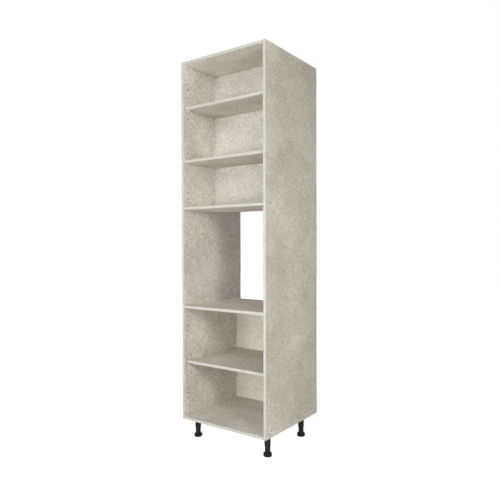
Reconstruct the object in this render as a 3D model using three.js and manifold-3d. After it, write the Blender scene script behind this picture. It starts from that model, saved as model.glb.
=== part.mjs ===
// Tall housing for one built-in oven: a rigid carcass of 16 mm faced board with three cupboard
// compartments above the oven, two below it, and four screw-adjustable plastic legs.
//
// Millimetres, +Z up. The origin is on the floor, under the middle of the carcass.
// +X is to the right seen from the open front, and the front faces -Y.
// Inside the carcass group, y is measured back from the front plane and z up from the
// underside of the carcass, which is how a joiner would dimension it.

import * as THREE from 'three';
import { mergeVertices } from 'three/addons/utils/BufferGeometryUtils.js';
import Module from 'manifold-3d';

const wasm = await Module();
wasm.setup();

// ---------------------------------------------------------------- driving dimensions

// Carcass
const CARCASS_WIDTH = 600;
const CARCASS_DEPTH = 560;
const BOARD = 16; // thickness of every panel and shelf
const GLUE_LINE = 0.1; // gap left in every glued or butted joint

// Clear heights of the compartments, from the bottom up
const BOTTOM_COMPARTMENT = 312;
const SECOND_COMPARTMENT = 315.5;
const OVEN_COMPARTMENT = 565.5;
const FOURTH_COMPARTMENT = 262;
const FIFTH_COMPARTMENT = 299;
const TOP_COMPARTMENT = 246;

// Front edging of every board
const EDGING = 1;
const EDGING_ROUND = 0.8; // radius of its two front corners

// Backs, set in grooves
const BACK = 8; // thickness
const GROOVE_DEPTH = 6;
const GROOVE_CLEARANCE = 0.3;
const UPPER_INTERIOR_DEPTH = 290; // front plane to upper back
const UPPER_BOARD_TAIL = 52; // top panel and shelf above the oven run this far behind the upper back
const LOWER_VOID = 40; // service space behind the lower back
const LOWER_BACK_SETDOWN = 4; // its top edge below the top of the oven deck

// Adjustable shelves
const HIGH_SHELF_SETBACK = 18;
const LOW_SHELF_SETBACK = 10;
const BOTTOM_SHELF_SETBACK = 32;
const SHELF_BACK_GAP = 2;
const SHELF_END_CLEARANCE = 0.3; // shelf end to the collar of its pins
const SHELF_SEAT_GAP = 0.2; // shelf to the top of its pins

// Shelf pins and their borings
const PIN_DIAMETER = 4.8;
const PIN_CLEARANCE = 0.2; // radial, pin in its boring
const PIN_SKIN = 6; // board left behind a pin's boring
const PIN_END_GAP = 1; // pin's inner end to the bottom of its boring
const PIN_REACH = 10.5; // length that carries the shelf
const PIN_COLLAR_DIAMETER = 6.6;
const PIN_COLLAR = 0.8; // collar thickness
const PIN_CHAMFER = 0.6;
const FRONT_ROW = 37; // row of hinge borings and of the upper shelves' front pins
const UPPER_REAR_ROW = 42; // upper shelves' rear pins, ahead of the upper back
const LOWER_FRONT_ROW = 59;
const LOWER_REAR_ROW = 34; // ahead of the lower back
const HIGH_PIN_STEP_UP = 76; // spare borings above and below each pin
const HIGH_PIN_STEP_DOWN = 50;
const HIGH_REAR_SPARE = 118; // lone boring of the rear row, above the pin
const LOW_PIN_STEP_UP = 64;
const LOW_PIN_STEP_DOWN = 52;
const LOW_REAR_SPARE = 82;
const BOTTOM_PIN_STEP_UP = 50;
const BOTTOM_PIN_STEP_DOWN = 60;

// Borings for hinge plates, in pairs
const HINGE_BORING_DIAMETER = 5.2;
const HINGE_SKIN = 4; // board left behind the boring
const HINGE_PAIR_SPACING = 32;
const HINGE_FROM_BOTTOM = 134;
const HINGE_BELOW_DECK = 124;
const HINGE_ABOVE_OVEN = 85; // over the underside of the shelf above the oven
const HINGE_BELOW_TOP = 136;

// Pilot borings in the outer faces, for the screws that join a neighbour or an end panel
const PILOT_DIAMETER = 5.2;
const PILOT_SKIN = 8; // board left between the boring and the inner face
const PILOT_FRONT_INSET = 45;
const PILOT_SPACING = 166;
const PILOT_BELOW_TOP = 28;
const PILOT_ABOVE_OVEN_SHELF = 1;
const PILOT_BASE_HEIGHT = 40;
const PILOT_BASE_FRONT_INSET = 53;
const PILOT_BASE_REAR_INSET = 67;

// Dowels that join the fixed boards to the sides
const DOWEL_DIAMETER = 8;
const DOWEL_LENGTH = 35;
const DOWEL_CHAMFER = 1;
const DOWEL_CLEARANCE = 0.3; // all round, and at both ends
const DOWEL_SKIN = 5; // board left between a dowel boring and the outer face
const DOWEL_FRONT_INSET = 80;
const DOWEL_BEFORE_BACK = 40;

// Legs
const LEG_HEIGHT = 120; // floor to the underside of the carcass
const LEG_SIDE_INSET = 48; // outer face to leg centre
const LEG_FRONT_INSET = 86;
const LEG_REAR_INSET = 111;
const SOCKET_PLATE = 68; // side of the square screw plate
const SOCKET_PLATE_THICKNESS = 3.5;
const SOCKET_PLATE_ROUND = 10;
const SLEEVE_WALL = 1.7;
const SOCKET_RIB = 2.5; // thickness of the gussets between plate and sleeve
const SOCKET_RIB_HEIGHT = 14;
const SCREW_EDGE = 10; // screw hole to the plate's edges, at each corner
const SCREW_HOLE_DIAMETER = 4.5;
const SCREW_SINK_DIAMETER = 8;
const SCREW_SINK = 2;
const TUBE_DIAMETER = 31;
const TUBE_WALL = 4.8;
const TUBE_EXPOSED = 35; // between the sleeve and the foot
const TUBE_CLEARANCE = 0.3; // tube in the sleeve, and its ends
const TUBE_FLUTES = 12;
const FLUTE_DEPTH = 0.9;
const FLUTE_SHARE = 0.62; // share of the pitch that a flute takes
const FOOT_DIAMETER = 48;
const FOOT_SOLE_BEVEL = 3;
const FOOT_RIM = 17; // height of the gripped rim
const FOOT_SHOULDER = 5; // height of the cone above the rim
const FOOT_LEDGE = 2; // top of the foot, all round the tube
const FOOT_SCALLOPS = 8;
const SCALLOP_DIAMETER = 9;
const SCALLOP_DEPTH = 1.6;
const STEM_HEADROOM = 30.5; // stem to the socket's plate, inside the tube
const STEM_CHAMFER = 1.5;
const STEM_CLEARANCE = 0.7; // the screw thread takes up this space

// Facets of the round pieces
const PEG_SIDES = 10;
const SLEEVE_SIDES = 24;
const FOOT_SIDES = 24;
const SCALLOP_SIDES = 10;

// ---------------------------------------------------------------- levels worked out from them

const BASE_TOP = BOARD;
const BOTTOM_SHELF_UNDERSIDE = BASE_TOP + BOTTOM_COMPARTMENT;
const DECK_UNDERSIDE = BOTTOM_SHELF_UNDERSIDE + BOARD + SECOND_COMPARTMENT;
const DECK_TOP = DECK_UNDERSIDE + BOARD;
const OVEN_SHELF_UNDERSIDE = DECK_TOP + OVEN_COMPARTMENT;
const OVEN_SHELF_TOP = OVEN_SHELF_UNDERSIDE + BOARD;
const LOW_SHELF_UNDERSIDE = OVEN_SHELF_TOP + FOURTH_COMPARTMENT;
const HIGH_SHELF_UNDERSIDE = LOW_SHELF_UNDERSIDE + BOARD + FIFTH_COMPARTMENT;
const TOP_UNDERSIDE = HIGH_SHELF_UNDERSIDE + BOARD + TOP_COMPARTMENT;
const CARCASS_HEIGHT = TOP_UNDERSIDE + BOARD;

const HALF_WIDTH = CARCASS_WIDTH / 2;
const INNER_HALF = HALF_WIDTH - BOARD; // centre plane to a side's inner face
const BOARD_FRONT = EDGING + GLUE_LINE; // a board starts here, behind its edging
const UPPER_BACK_FRONT = UPPER_INTERIOR_DEPTH;
const LOWER_BACK_FRONT = CARCASS_DEPTH - LOWER_VOID - BACK;
const UPPER_BOARD_REAR = UPPER_BACK_FRONT + BACK + UPPER_BOARD_TAIL;
const SHELF_END_GAP = GLUE_LINE + PIN_COLLAR + SHELF_END_CLEARANCE;
const PIN_BORING_RADIUS = PIN_DIAMETER / 2 + PIN_CLEARANCE;
const PIN_BORING_DEPTH = BOARD - PIN_SKIN;
const UPPER_REAR_PIN_Y = UPPER_BACK_FRONT - UPPER_REAR_ROW;
const LOWER_REAR_PIN_Y = LOWER_BACK_FRONT - LOWER_REAR_ROW;

const FOOT_HEIGHT = FOOT_RIM + FOOT_SHOULDER;
const SLEEVE_BORE = TUBE_DIAMETER + 2 * TUBE_CLEARANCE;
const SLEEVE_DIAMETER = SLEEVE_BORE + 2 * SLEEVE_WALL;
const SOCKET_HEIGHT = LEG_HEIGHT - FOOT_HEIGHT - TUBE_EXPOSED; // plate and sleeve together
const TUBE_BORE = TUBE_DIAMETER - 2 * TUBE_WALL;
const STEM_DIAMETER = TUBE_BORE - 2 * STEM_CLEARANCE;

// ---------------------------------------------------------------- finishes

const concreteBoard = { color: 0xb5ad9f, roughness: 0.62, metalness: 0 };
const concreteBack = { color: 0xbfb8aa, roughness: 0.66, metalness: 0 };
const paleEdging = { color: 0xdcdacb, roughness: 0.45, metalness: 0 };
const blackPlastic = { color: 0x242325, roughness: 0.42, metalness: 0 };
const platedSteel = { color: 0xd9d8d2, roughness: 0.28, metalness: 1 };
const beech = { color: 0xc9a577, roughness: 0.7, metalness: 0 };

// ---------------------------------------------------------------- solids

// A closed three.js geometry as a solid that can be cut and joined.
function solidOf(geometry) {
  const bare = geometry.clone();
  bare.deleteAttribute('normal');
  bare.deleteAttribute('uv');
  const merged = mergeVertices(bare, 1e-5);
  const vertProperties = new Float32Array(merged.attributes.position.array);
  const triVerts = new Uint32Array(merged.index.array);
  return new wasm.Manifold(new wasm.Mesh({ numProp: 3, vertProperties, triVerts }));
}

function geometryOf(solid) {
  const mesh = solid.getMesh();
  const geometry = new THREE.BufferGeometry();
  geometry.setAttribute('position', new THREE.BufferAttribute(mesh.vertProperties, 3));
  geometry.setIndex(new THREE.BufferAttribute(mesh.triVerts, 1));
  geometry.computeVertexNormals();
  return geometry;
}

function cutAway(blank, cutters) {
  let solid = solidOf(blank);
  for (const cutter of cutters) {
    solid = solid.subtract(solidOf(cutter));
  }
  return geometryOf(solid);
}

function namedMesh(name, geometry, finish, x, y, z) {
  const mesh = new THREE.Mesh(geometry, new THREE.MeshStandardMaterial(finish));
  mesh.name = name;
  mesh.position.set(x, y, z);
  return mesh;
}

// A rectangular block between two corners.
function block(low, high) {
  const size = high.map((value, axis) => value - low[axis]);
  const geometry = new THREE.BoxGeometry(size[0], size[1], size[2]);
  const centre = high.map((value, axis) => (value + low[axis]) / 2);
  return geometry.translate(centre[0], centre[1], centre[2]);
}

// A round bar along X, from one x to another, centred on (y, z).
function barAlongX(radius, fromX, toX, y, z) {
  const geometry = new THREE.CylinderGeometry(radius, radius, Math.abs(toX - fromX), PEG_SIDES);
  geometry.rotateZ(Math.PI / 2);
  return geometry.translate((fromX + toX) / 2, y, z);
}

// A round bar standing on the Z axis, from one level to another.
function uprightBar(radius, bottom, top) {
  const geometry = new THREE.CylinderGeometry(radius, radius, top - bottom, SLEEVE_SIDES);
  geometry.rotateX(Math.PI / 2);
  return geometry.translate(0, 0, (top + bottom) / 2);
}

// A turned piece on the Z axis from [radius, height] pairs that start and end on the axis.
function turned(profile, sides) {
  const points = profile.map(([radius, height]) => new THREE.Vector2(radius, height));
  const geometry = new THREE.LatheGeometry(points, sides);
  return geometry.rotateX(Math.PI / 2);
}

// ---------------------------------------------------------------- where the borings are

// One entry per adjustable shelf: its pins, and the rows bored above and below them.
const SHELVES = [
  {
    name: 'upper_shelf_high',
    underside: HIGH_SHELF_UNDERSIDE,
    setback: HIGH_SHELF_SETBACK,
    rear: UPPER_BACK_FRONT - SHELF_BACK_GAP,
    pinRows: { front: FRONT_ROW, rear: UPPER_REAR_PIN_Y },
    steps: [-HIGH_PIN_STEP_DOWN, 0, HIGH_PIN_STEP_UP],
    rearSpares: [HIGH_REAR_SPARE],
  },
  {
    name: 'upper_shelf_low',
    underside: LOW_SHELF_UNDERSIDE,
    setback: LOW_SHELF_SETBACK,
    rear: UPPER_BACK_FRONT - SHELF_BACK_GAP,
    pinRows: { front: FRONT_ROW, rear: UPPER_REAR_PIN_Y },
    steps: [-LOW_PIN_STEP_DOWN, 0, LOW_PIN_STEP_UP],
    rearSpares: [LOW_REAR_SPARE],
  },
  {
    name: 'lower_shelf',
    underside: BOTTOM_SHELF_UNDERSIDE,
    setback: BOTTOM_SHELF_SETBACK,
    rear: LOWER_BACK_FRONT - SHELF_BACK_GAP,
    pinRows: { front: LOWER_FRONT_ROW, rear: LOWER_REAR_PIN_Y },
    steps: [-BOTTOM_PIN_STEP_DOWN, 0, BOTTOM_PIN_STEP_UP],
    rearSpares: [],
  },
];

// One entry per fixed board: its underside, its rear edge, the back that it meets, and the face
// that is grooved for that back. The oven deck has no groove, because its back runs up behind it.
const FIXED_BOARDS = [
  {
    name: 'top_panel',
    edging: 'top_edging',
    underside: TOP_UNDERSIDE,
    rear: UPPER_BOARD_REAR,
    backFront: UPPER_BACK_FRONT,
    grooved: 'underside',
  },
  {
    name: 'above_oven_shelf',
    edging: 'above_oven_edging',
    underside: OVEN_SHELF_UNDERSIDE,
    rear: UPPER_BOARD_REAR,
    backFront: UPPER_BACK_FRONT,
    grooved: 'top',
  },
  {
    name: 'oven_deck',
    edging: 'oven_deck_edging',
    underside: DECK_UNDERSIDE,
    rear: LOWER_BACK_FRONT - GLUE_LINE,
    backFront: LOWER_BACK_FRONT,
    grooved: 'neither',
  },
  {
    name: 'base_panel',
    edging: 'base_edging',
    underside: 0,
    rear: CARCASS_DEPTH,
    backFront: LOWER_BACK_FRONT,
    grooved: 'top',
  },
];

// The two backs: front face and the levels of their bottom and top edges.
const BACKS = [
  {
    name: 'upper_back',
    front: UPPER_BACK_FRONT,
    bottom: OVEN_SHELF_TOP - GROOVE_DEPTH + GROOVE_CLEARANCE,
    top: TOP_UNDERSIDE + GROOVE_DEPTH - GROOVE_CLEARANCE,
  },
  {
    name: 'lower_back',
    front: LOWER_BACK_FRONT,
    bottom: BASE_TOP - GROOVE_DEPTH + GROOVE_CLEARANCE,
    top: DECK_TOP - LOWER_BACK_SETDOWN,
  },
];

function pinHeight(shelf) {
  return shelf.underside - SHELF_SEAT_GAP - PIN_DIAMETER / 2;
}

function dowelPlaces(board) {
  const height = board.underside + BOARD / 2;
  return [
    { end: 'front', y: DOWEL_FRONT_INSET, z: height },
    { end: 'rear', y: board.backFront - DOWEL_BEFORE_BACK, z: height },
  ];
}

function pinBorings() {
  const places = [];
  for (const shelf of SHELVES) {
    for (const step of shelf.steps) {
      places.push({ y: shelf.pinRows.front, z: pinHeight(shelf) + step });
      places.push({ y: shelf.pinRows.rear, z: pinHeight(shelf) + step });
    }
    for (const spare of shelf.rearSpares) {
      places.push({ y: shelf.pinRows.rear, z: pinHeight(shelf) + spare });
    }
  }
  return places;
}

function hingeBorings() {
  const pairs = [
    HINGE_FROM_BOTTOM,
    DECK_UNDERSIDE - HINGE_BELOW_DECK,
    OVEN_SHELF_UNDERSIDE + HINGE_ABOVE_OVEN,
    CARCASS_HEIGHT - HINGE_BELOW_TOP,
  ];
  const offsets = [-HINGE_PAIR_SPACING / 2, HINGE_PAIR_SPACING / 2];
  return pairs.flatMap((z) => offsets.map((offset) => ({ y: FRONT_ROW, z: z + offset })));
}

function pilotBorings() {
  const places = [];
  for (const z of [CARCASS_HEIGHT - PILOT_BELOW_TOP, OVEN_SHELF_TOP + PILOT_ABOVE_OVEN_SHELF]) {
    places.push({ y: PILOT_FRONT_INSET, z });
    places.push({ y: PILOT_FRONT_INSET + PILOT_SPACING, z });
  }
  const last = CARCASS_DEPTH - PILOT_BASE_REAR_INSET;
  for (const y of [PILOT_BASE_FRONT_INSET, (PILOT_BASE_FRONT_INSET + last) / 2, last]) {
    places.push({ y, z: PILOT_BASE_HEIGHT });
  }
  return places;
}

// ---------------------------------------------------------------- side panels

// The left side, with its outer face on x = 0 and its inner face on x = BOARD.
function sidePanelGeometry() {
  const blank = block([0, BOARD_FRONT, 0], [BOARD, CARCASS_DEPTH, CARCASS_HEIGHT]);
  const fromInside = (place, radius, depth) =>
    barAlongX(radius, BOARD + GLUE_LINE, BOARD - depth, place.y, place.z);
  const fromOutside = (place, radius, depth) =>
    barAlongX(radius, -GLUE_LINE, depth, place.y, place.z);
  const dowelRadius = DOWEL_DIAMETER / 2 + DOWEL_CLEARANCE;
  const cutters = [
    ...BACKS.map(sideGroove),
    ...pinBorings().map((place) => fromInside(place, PIN_BORING_RADIUS, PIN_BORING_DEPTH)),
    ...hingeBorings().map((place) => fromInside(place, HINGE_BORING_DIAMETER / 2, BOARD - HINGE_SKIN)),
    ...FIXED_BOARDS.flatMap(dowelPlaces).map((place) => fromInside(place, dowelRadius, BOARD - DOWEL_SKIN)),
    ...pilotBorings().map((place) => fromOutside(place, PILOT_DIAMETER / 2, BOARD - PILOT_SKIN)),
  ];
  return cutAway(blank, cutters);
}

// The stopped groove in the left side for one back.
function sideGroove(back) {
  return block(
    [BOARD - GROOVE_DEPTH, back.front - GROOVE_CLEARANCE, back.bottom - GROOVE_CLEARANCE],
    [BOARD + GLUE_LINE, back.front + BACK + GROOVE_CLEARANCE, back.top + GROOVE_CLEARANCE],
  );
}

// The same piece handed the other way, reflected in the plane x = 0.
function mirrored(geometry) {
  const copy = geometry.clone().scale(-1, 1, 1);
  const corners = copy.index.array;
  for (let first = 0; first < corners.length; first += 3) {
    [corners[first + 1], corners[first + 2]] = [corners[first + 2], corners[first + 1]];
  }
  copy.computeVertexNormals();
  return copy;
}

// ---------------------------------------------------------------- fixed boards

// A fixed board between the sides, with x centred and z from its underside.
function fixedBoardGeometry(board) {
  const halfLength = INNER_HALF - GLUE_LINE;
  const blank = block([-halfLength, BOARD_FRONT, 0], [halfLength, board.rear, BOARD]);
  return cutAway(blank, [...boardEndBorings(board), ...boardGrooves(board)]);
}

function boardEndBorings(board) {
  const radius = DOWEL_DIAMETER / 2 + DOWEL_CLEARANCE;
  const tip = dowelOuterEnd() - DOWEL_LENGTH - DOWEL_CLEARANCE;
  const cutters = [];
  for (const side of [-1, 1]) {
    for (const place of dowelPlaces(board)) {
      cutters.push(barAlongX(radius, side * INNER_HALF, side * tip, place.y, BOARD / 2));
    }
  }
  return cutters;
}

function boardGrooves(board) {
  if (board.grooved === 'neither') {
    return [];
  }
  const onTop = board.grooved === 'top';
  const low = onTop ? BOARD - GROOVE_DEPTH : -GLUE_LINE;
  const high = onTop ? BOARD + GLUE_LINE : GROOVE_DEPTH;
  const groove = block(
    [-INNER_HALF, board.backFront - GROOVE_CLEARANCE, low],
    [INNER_HALF, board.backFront + BACK + GROOVE_CLEARANCE, high],
  );
  return [groove];
}

// ---------------------------------------------------------------- dowels

// Distance from the centre plane to a dowel's outer end, deep in the side.
function dowelOuterEnd() {
  return HALF_WIDTH - DOWEL_SKIN - DOWEL_CLEARANCE;
}

// A chamfered dowel along X, centred on its own origin.
function dowelGeometry() {
  const radius = DOWEL_DIAMETER / 2;
  const half = DOWEL_LENGTH / 2;
  const profile = [
    [0, -half],
    [radius - DOWEL_CHAMFER, -half],
    [radius, -half + DOWEL_CHAMFER],
    [radius, half - DOWEL_CHAMFER],
    [radius - DOWEL_CHAMFER, half],
    [0, half],
  ];
  return turned(profile, PEG_SIDES).rotateY(Math.PI / 2);
}

// ---------------------------------------------------------------- edging

// A strip of edging with its two front corners rounded, for a board of length along one axis.
// It is drawn in section (width across the board, thickness) and run out along its length.
function edgingGeometry(length) {
  const round = Math.min(EDGING_ROUND, EDGING - GLUE_LINE);
  const section = new THREE.Shape();
  section.moveTo(0, EDGING);
  section.lineTo(0, round);
  section.absarc(round, round, round, Math.PI, Math.PI * 1.5, false);
  section.absarc(BOARD - round, round, round, Math.PI * 1.5, Math.PI * 2, false);
  section.lineTo(BOARD, EDGING);
  section.closePath();
  return new THREE.ExtrudeGeometry(section, { depth: length, bevelEnabled: false, curveSegments: 3 });
}

// Along a side's front edge: length up, width across the side's thickness.
function uprightEdging() {
  return edgingGeometry(CARCASS_HEIGHT);
}

// Along a shelf's front edge: length to the right, width up.
function levelEdging(halfLength) {
  const geometry = edgingGeometry(halfLength * 2);
  geometry.rotateY(-Math.PI / 2);
  return geometry.translate(halfLength, 0, 0);
}

// ---------------------------------------------------------------- shelf pins

// A turned pin along X with its collar's wall side on x = 0, pointing to +X into the cupboard.
function pinGeometry() {
  const radius = PIN_DIAMETER / 2;
  const collar = PIN_COLLAR_DIAMETER / 2;
  const inWall = -GLUE_LINE - PIN_BORING_DEPTH + PIN_END_GAP;
  const profile = [
    [0, inWall],
    [radius - PIN_CHAMFER, inWall],
    [radius, inWall + PIN_CHAMFER],
    [radius, 0],
    [collar, 0],
    [collar, PIN_COLLAR],
    [radius, PIN_COLLAR],
    [radius, PIN_REACH - PIN_CHAMFER],
    [radius - PIN_CHAMFER, PIN_REACH],
    [0, PIN_REACH],
  ];
  return turned(profile, PEG_SIDES).rotateY(Math.PI / 2);
}

// ---------------------------------------------------------------- legs

// The screw plate and sleeve, hanging from z = 0 down.
function socketGeometry() {
  const half = SOCKET_PLATE / 2 - SOCKET_PLATE_ROUND;
  const outline = new THREE.Shape();
  outline.absarc(half, half, SOCKET_PLATE_ROUND, 0, Math.PI / 2, false);
  outline.absarc(-half, half, SOCKET_PLATE_ROUND, Math.PI / 2, Math.PI, false);
  outline.absarc(-half, -half, SOCKET_PLATE_ROUND, Math.PI, Math.PI * 1.5, false);
  outline.absarc(half, -half, SOCKET_PLATE_ROUND, Math.PI * 1.5, Math.PI * 2, false);
  const plate = new THREE.ExtrudeGeometry(outline, {
    depth: SOCKET_PLATE_THICKNESS,
    bevelEnabled: false,
    curveSegments: 4,
  });
  plate.translate(0, 0, -SOCKET_PLATE_THICKNESS);
  let solid = solidOf(plate).add(solidOf(uprightBar(SLEEVE_DIAMETER / 2, -SOCKET_HEIGHT, 0)));
  for (const rib of socketRibs()) {
    solid = solid.add(solidOf(rib));
  }
  for (const cutter of [sleeveBore(), ...screwHoles()]) {
    solid = solid.subtract(solidOf(cutter));
  }
  return geometryOf(solid);
}

// Open at the bottom, and closed at the top by the plate.
function sleeveBore() {
  const mouth = -SOCKET_HEIGHT - GLUE_LINE;
  return uprightBar(SLEEVE_BORE / 2, mouth, -SOCKET_PLATE_THICKNESS);
}

// Four triangular gussets from the sleeve out to the plate's edges.
function socketRibs() {
  const inner = SLEEVE_BORE / 2;
  const outer = SOCKET_PLATE / 2;
  const side = new THREE.Shape();
  side.moveTo(inner, -SOCKET_PLATE_THICKNESS / 2);
  side.lineTo(outer, -SOCKET_PLATE_THICKNESS / 2);
  side.lineTo(outer, -SOCKET_PLATE_THICKNESS);
  side.lineTo(SLEEVE_DIAMETER / 2, -SOCKET_PLATE_THICKNESS - SOCKET_RIB_HEIGHT);
  side.lineTo(inner, -SOCKET_PLATE_THICKNESS - SOCKET_RIB_HEIGHT);
  side.closePath();
  const ribs = [];
  for (let quarter = 0; quarter < 4; quarter += 1) {
    const rib = new THREE.ExtrudeGeometry(side, { depth: SOCKET_RIB, bevelEnabled: false });
    rib.translate(0, 0, -SOCKET_RIB / 2);
    rib.rotateX(Math.PI / 2);
    rib.rotateZ((quarter * Math.PI) / 2);
    ribs.push(rib);
  }
  return ribs;
}

// Four screw holes through the plate, countersunk from below.
function screwHoles() {
  const holeRadius = SCREW_HOLE_DIAMETER / 2;
  const sinkRadius = SCREW_SINK_DIAMETER / 2;
  const below = -SOCKET_PLATE_THICKNESS - GLUE_LINE;
  const profile = [
    [0, below],
    [sinkRadius, below],
    [sinkRadius, -SOCKET_PLATE_THICKNESS],
    [holeRadius, -SOCKET_PLATE_THICKNESS + SCREW_SINK],
    [holeRadius, GLUE_LINE],
    [0, GLUE_LINE],
  ];
  const reach = SOCKET_PLATE / 2 - SCREW_EDGE;
  const corners = [-reach, reach].flatMap((x) => [-reach, reach].map((y) => [x, y]));
  return corners.map(([x, y]) => turned(profile, PEG_SIDES).translate(x, y, 0));
}

// The fluted leg tube, standing up from z = 0.
function tubeGeometry() {
  const outline = new THREE.Shape(flutedOutline());
  const bore = new THREE.Path();
  bore.absarc(0, 0, TUBE_BORE / 2, 0, Math.PI * 2, true);
  outline.holes.push(bore);
  return new THREE.ExtrudeGeometry(outline, {
    depth: LEG_HEIGHT - SOCKET_PLATE_THICKNESS - FOOT_HEIGHT - 2 * TUBE_CLEARANCE,
    bevelEnabled: false,
    curveSegments: 12,
  });
}

// Round lands with shallow flutes between them.
function flutedOutline() {
  const radius = TUBE_DIAMETER / 2;
  const pitch = (Math.PI * 2) / TUBE_FLUTES;
  const points = [];
  for (let flute = 0; flute < TUBE_FLUTES; flute += 1) {
    const start = flute * pitch;
    const steps = [
      [0, 0],
      [0.25, 0.75],
      [0.5, 1],
      [0.75, 0.75],
      [1, 0],
    ];
    for (const [share, depth] of steps) {
      const angle = start + share * FLUTE_SHARE * pitch;
      const reach = radius - depth * FLUTE_DEPTH;
      points.push(new THREE.Vector2(reach * Math.cos(angle), reach * Math.sin(angle)));
    }
  }
  return points;
}

// The foot and its screw stem, turned in one piece, with finger scallops round the rim.
function footGeometry() {
  const rim = FOOT_DIAMETER / 2;
  const stem = STEM_DIAMETER / 2;
  const stemTop = LEG_HEIGHT - SOCKET_PLATE_THICKNESS - STEM_HEADROOM;
  const profile = [
    [0, 0],
    [rim - FOOT_SOLE_BEVEL, 0],
    [rim, FOOT_SOLE_BEVEL],
    [rim, FOOT_RIM],
    [TUBE_DIAMETER / 2 + FOOT_LEDGE, FOOT_HEIGHT],
    [stem, FOOT_HEIGHT],
    [stem, stemTop - STEM_CHAMFER],
    [stem - STEM_CHAMFER, stemTop],
    [0, stemTop],
  ];
  const scallops = [];
  for (let index = 0; index < FOOT_SCALLOPS; index += 1) {
    const angle = ((index + 0.5) * Math.PI * 2) / FOOT_SCALLOPS;
    const reach = rim + SCALLOP_DIAMETER / 2 - SCALLOP_DEPTH;
    const radius = SCALLOP_DIAMETER / 2;
    const cutter = new THREE.CylinderGeometry(radius, radius, FOOT_HEIGHT * 3, SCALLOP_SIDES);
    cutter.rotateX(Math.PI / 2);
    scallops.push(cutter.translate(reach * Math.cos(angle), reach * Math.sin(angle), 0));
  }
  return cutAway(turned(profile, FOOT_SIDES), scallops);
}

// ---------------------------------------------------------------- assembly

const SIDES = [
  { name: 'left', inward: 1 },
  { name: 'right', inward: -1 },
];

function addSides(carcass) {
  const leftPanel = sidePanelGeometry();
  for (const { name, inward } of SIDES) {
    const x = -inward * HALF_WIDTH;
    const panel = inward > 0 ? leftPanel : mirrored(leftPanel);
    carcass.add(namedMesh(`${name}_side_panel`, panel, concreteBoard, x, 0, 0));
    const stripLeft = Math.min(x, x + inward * BOARD);
    carcass.add(namedMesh(`${name}_side_edging`, uprightEdging(), paleEdging, stripLeft, 0, 0));
  }
}

function addFixedBoards(carcass) {
  for (const board of FIXED_BOARDS) {
    const z = board.underside;
    const strip = levelEdging(INNER_HALF - GLUE_LINE);
    carcass.add(namedMesh(board.name, fixedBoardGeometry(board), concreteBoard, 0, 0, z));
    carcass.add(namedMesh(board.edging, strip, paleEdging, 0, 0, z));
    for (const { name, inward } of SIDES) {
      const x = -inward * (dowelOuterEnd() - DOWEL_LENGTH / 2);
      for (const place of dowelPlaces(board)) {
        const dowelName = `${board.name}_dowel_${place.end}_${name}`;
        carcass.add(namedMesh(dowelName, dowelGeometry(), beech, x, place.y, place.z));
      }
    }
  }
}

function addBacks(carcass) {
  const halfWidth = INNER_HALF + GROOVE_DEPTH - GROOVE_CLEARANCE;
  for (const back of BACKS) {
    const geometry = block([-halfWidth, 0, 0], [halfWidth, BACK, back.top - back.bottom]);
    carcass.add(namedMesh(back.name, geometry, concreteBack, 0, back.front, back.bottom));
  }
}

function addShelves(carcass) {
  const halfLength = INNER_HALF - SHELF_END_GAP;
  for (const shelf of SHELVES) {
    const front = shelf.setback + BOARD_FRONT;
    const board = block([-halfLength, front, 0], [halfLength, shelf.rear, BOARD]);
    const strip = levelEdging(halfLength);
    const z = shelf.underside;
    carcass.add(namedMesh(shelf.name, board, concreteBoard, 0, 0, z));
    carcass.add(namedMesh(`${shelf.name}_edging`, strip, paleEdging, 0, shelf.setback, z));
    addPins(carcass, shelf);
  }
}

function addPins(carcass, shelf) {
  for (const { name, inward } of SIDES) {
    for (const [row, y] of Object.entries(shelf.pinRows)) {
      const x = -inward * (INNER_HALF - GLUE_LINE);
      const z = pinHeight(shelf);
      const pin = namedMesh(`${shelf.name}_pin_${row}_${name}`, pinGeometry(), platedSteel, x, y, z);
      pin.rotation.z = inward > 0 ? 0 : Math.PI;
      carcass.add(pin);
    }
  }
}

function addLegs(carcass) {
  const rows = { front: LEG_FRONT_INSET, rear: CARCASS_DEPTH - LEG_REAR_INSET };
  for (const { name, inward } of SIDES) {
    const x = -inward * (HALF_WIDTH - LEG_SIDE_INSET);
    for (const [row, y] of Object.entries(rows)) {
      const leg = new THREE.Group();
      leg.position.set(x, y, -LEG_HEIGHT);
      const tubeBottom = FOOT_HEIGHT + TUBE_CLEARANCE;
      const place = `${row}_${name}`;
      leg.add(namedMesh(`leg_socket_${place}`, socketGeometry(), blackPlastic, 0, 0, LEG_HEIGHT - GLUE_LINE));
      leg.add(namedMesh(`leg_tube_${place}`, tubeGeometry(), blackPlastic, 0, 0, tubeBottom));
      leg.add(namedMesh(`foot_${place}`, footGeometry(), blackPlastic, 0, 0, 0));
      carcass.add(leg);
    }
  }
}

const carcass = new THREE.Group();
carcass.position.set(0, -CARCASS_DEPTH / 2, LEG_HEIGHT);
addSides(carcass);
addFixedBoards(carcass);
addBacks(carcass);
addShelves(carcass);
addLegs(carcass);

const ovenHousing = new THREE.Group();
ovenHousing.add(carcass);

export default ovenHousing;
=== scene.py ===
"""Tall kitchen housing for a built-in oven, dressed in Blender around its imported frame.

Lengths are metres in the frame's own axes: +X right, +Y back, +Z up, the open front towards -Y.
"""

import math

import bmesh
import bpy
from mathutils import Matrix, Vector


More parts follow.
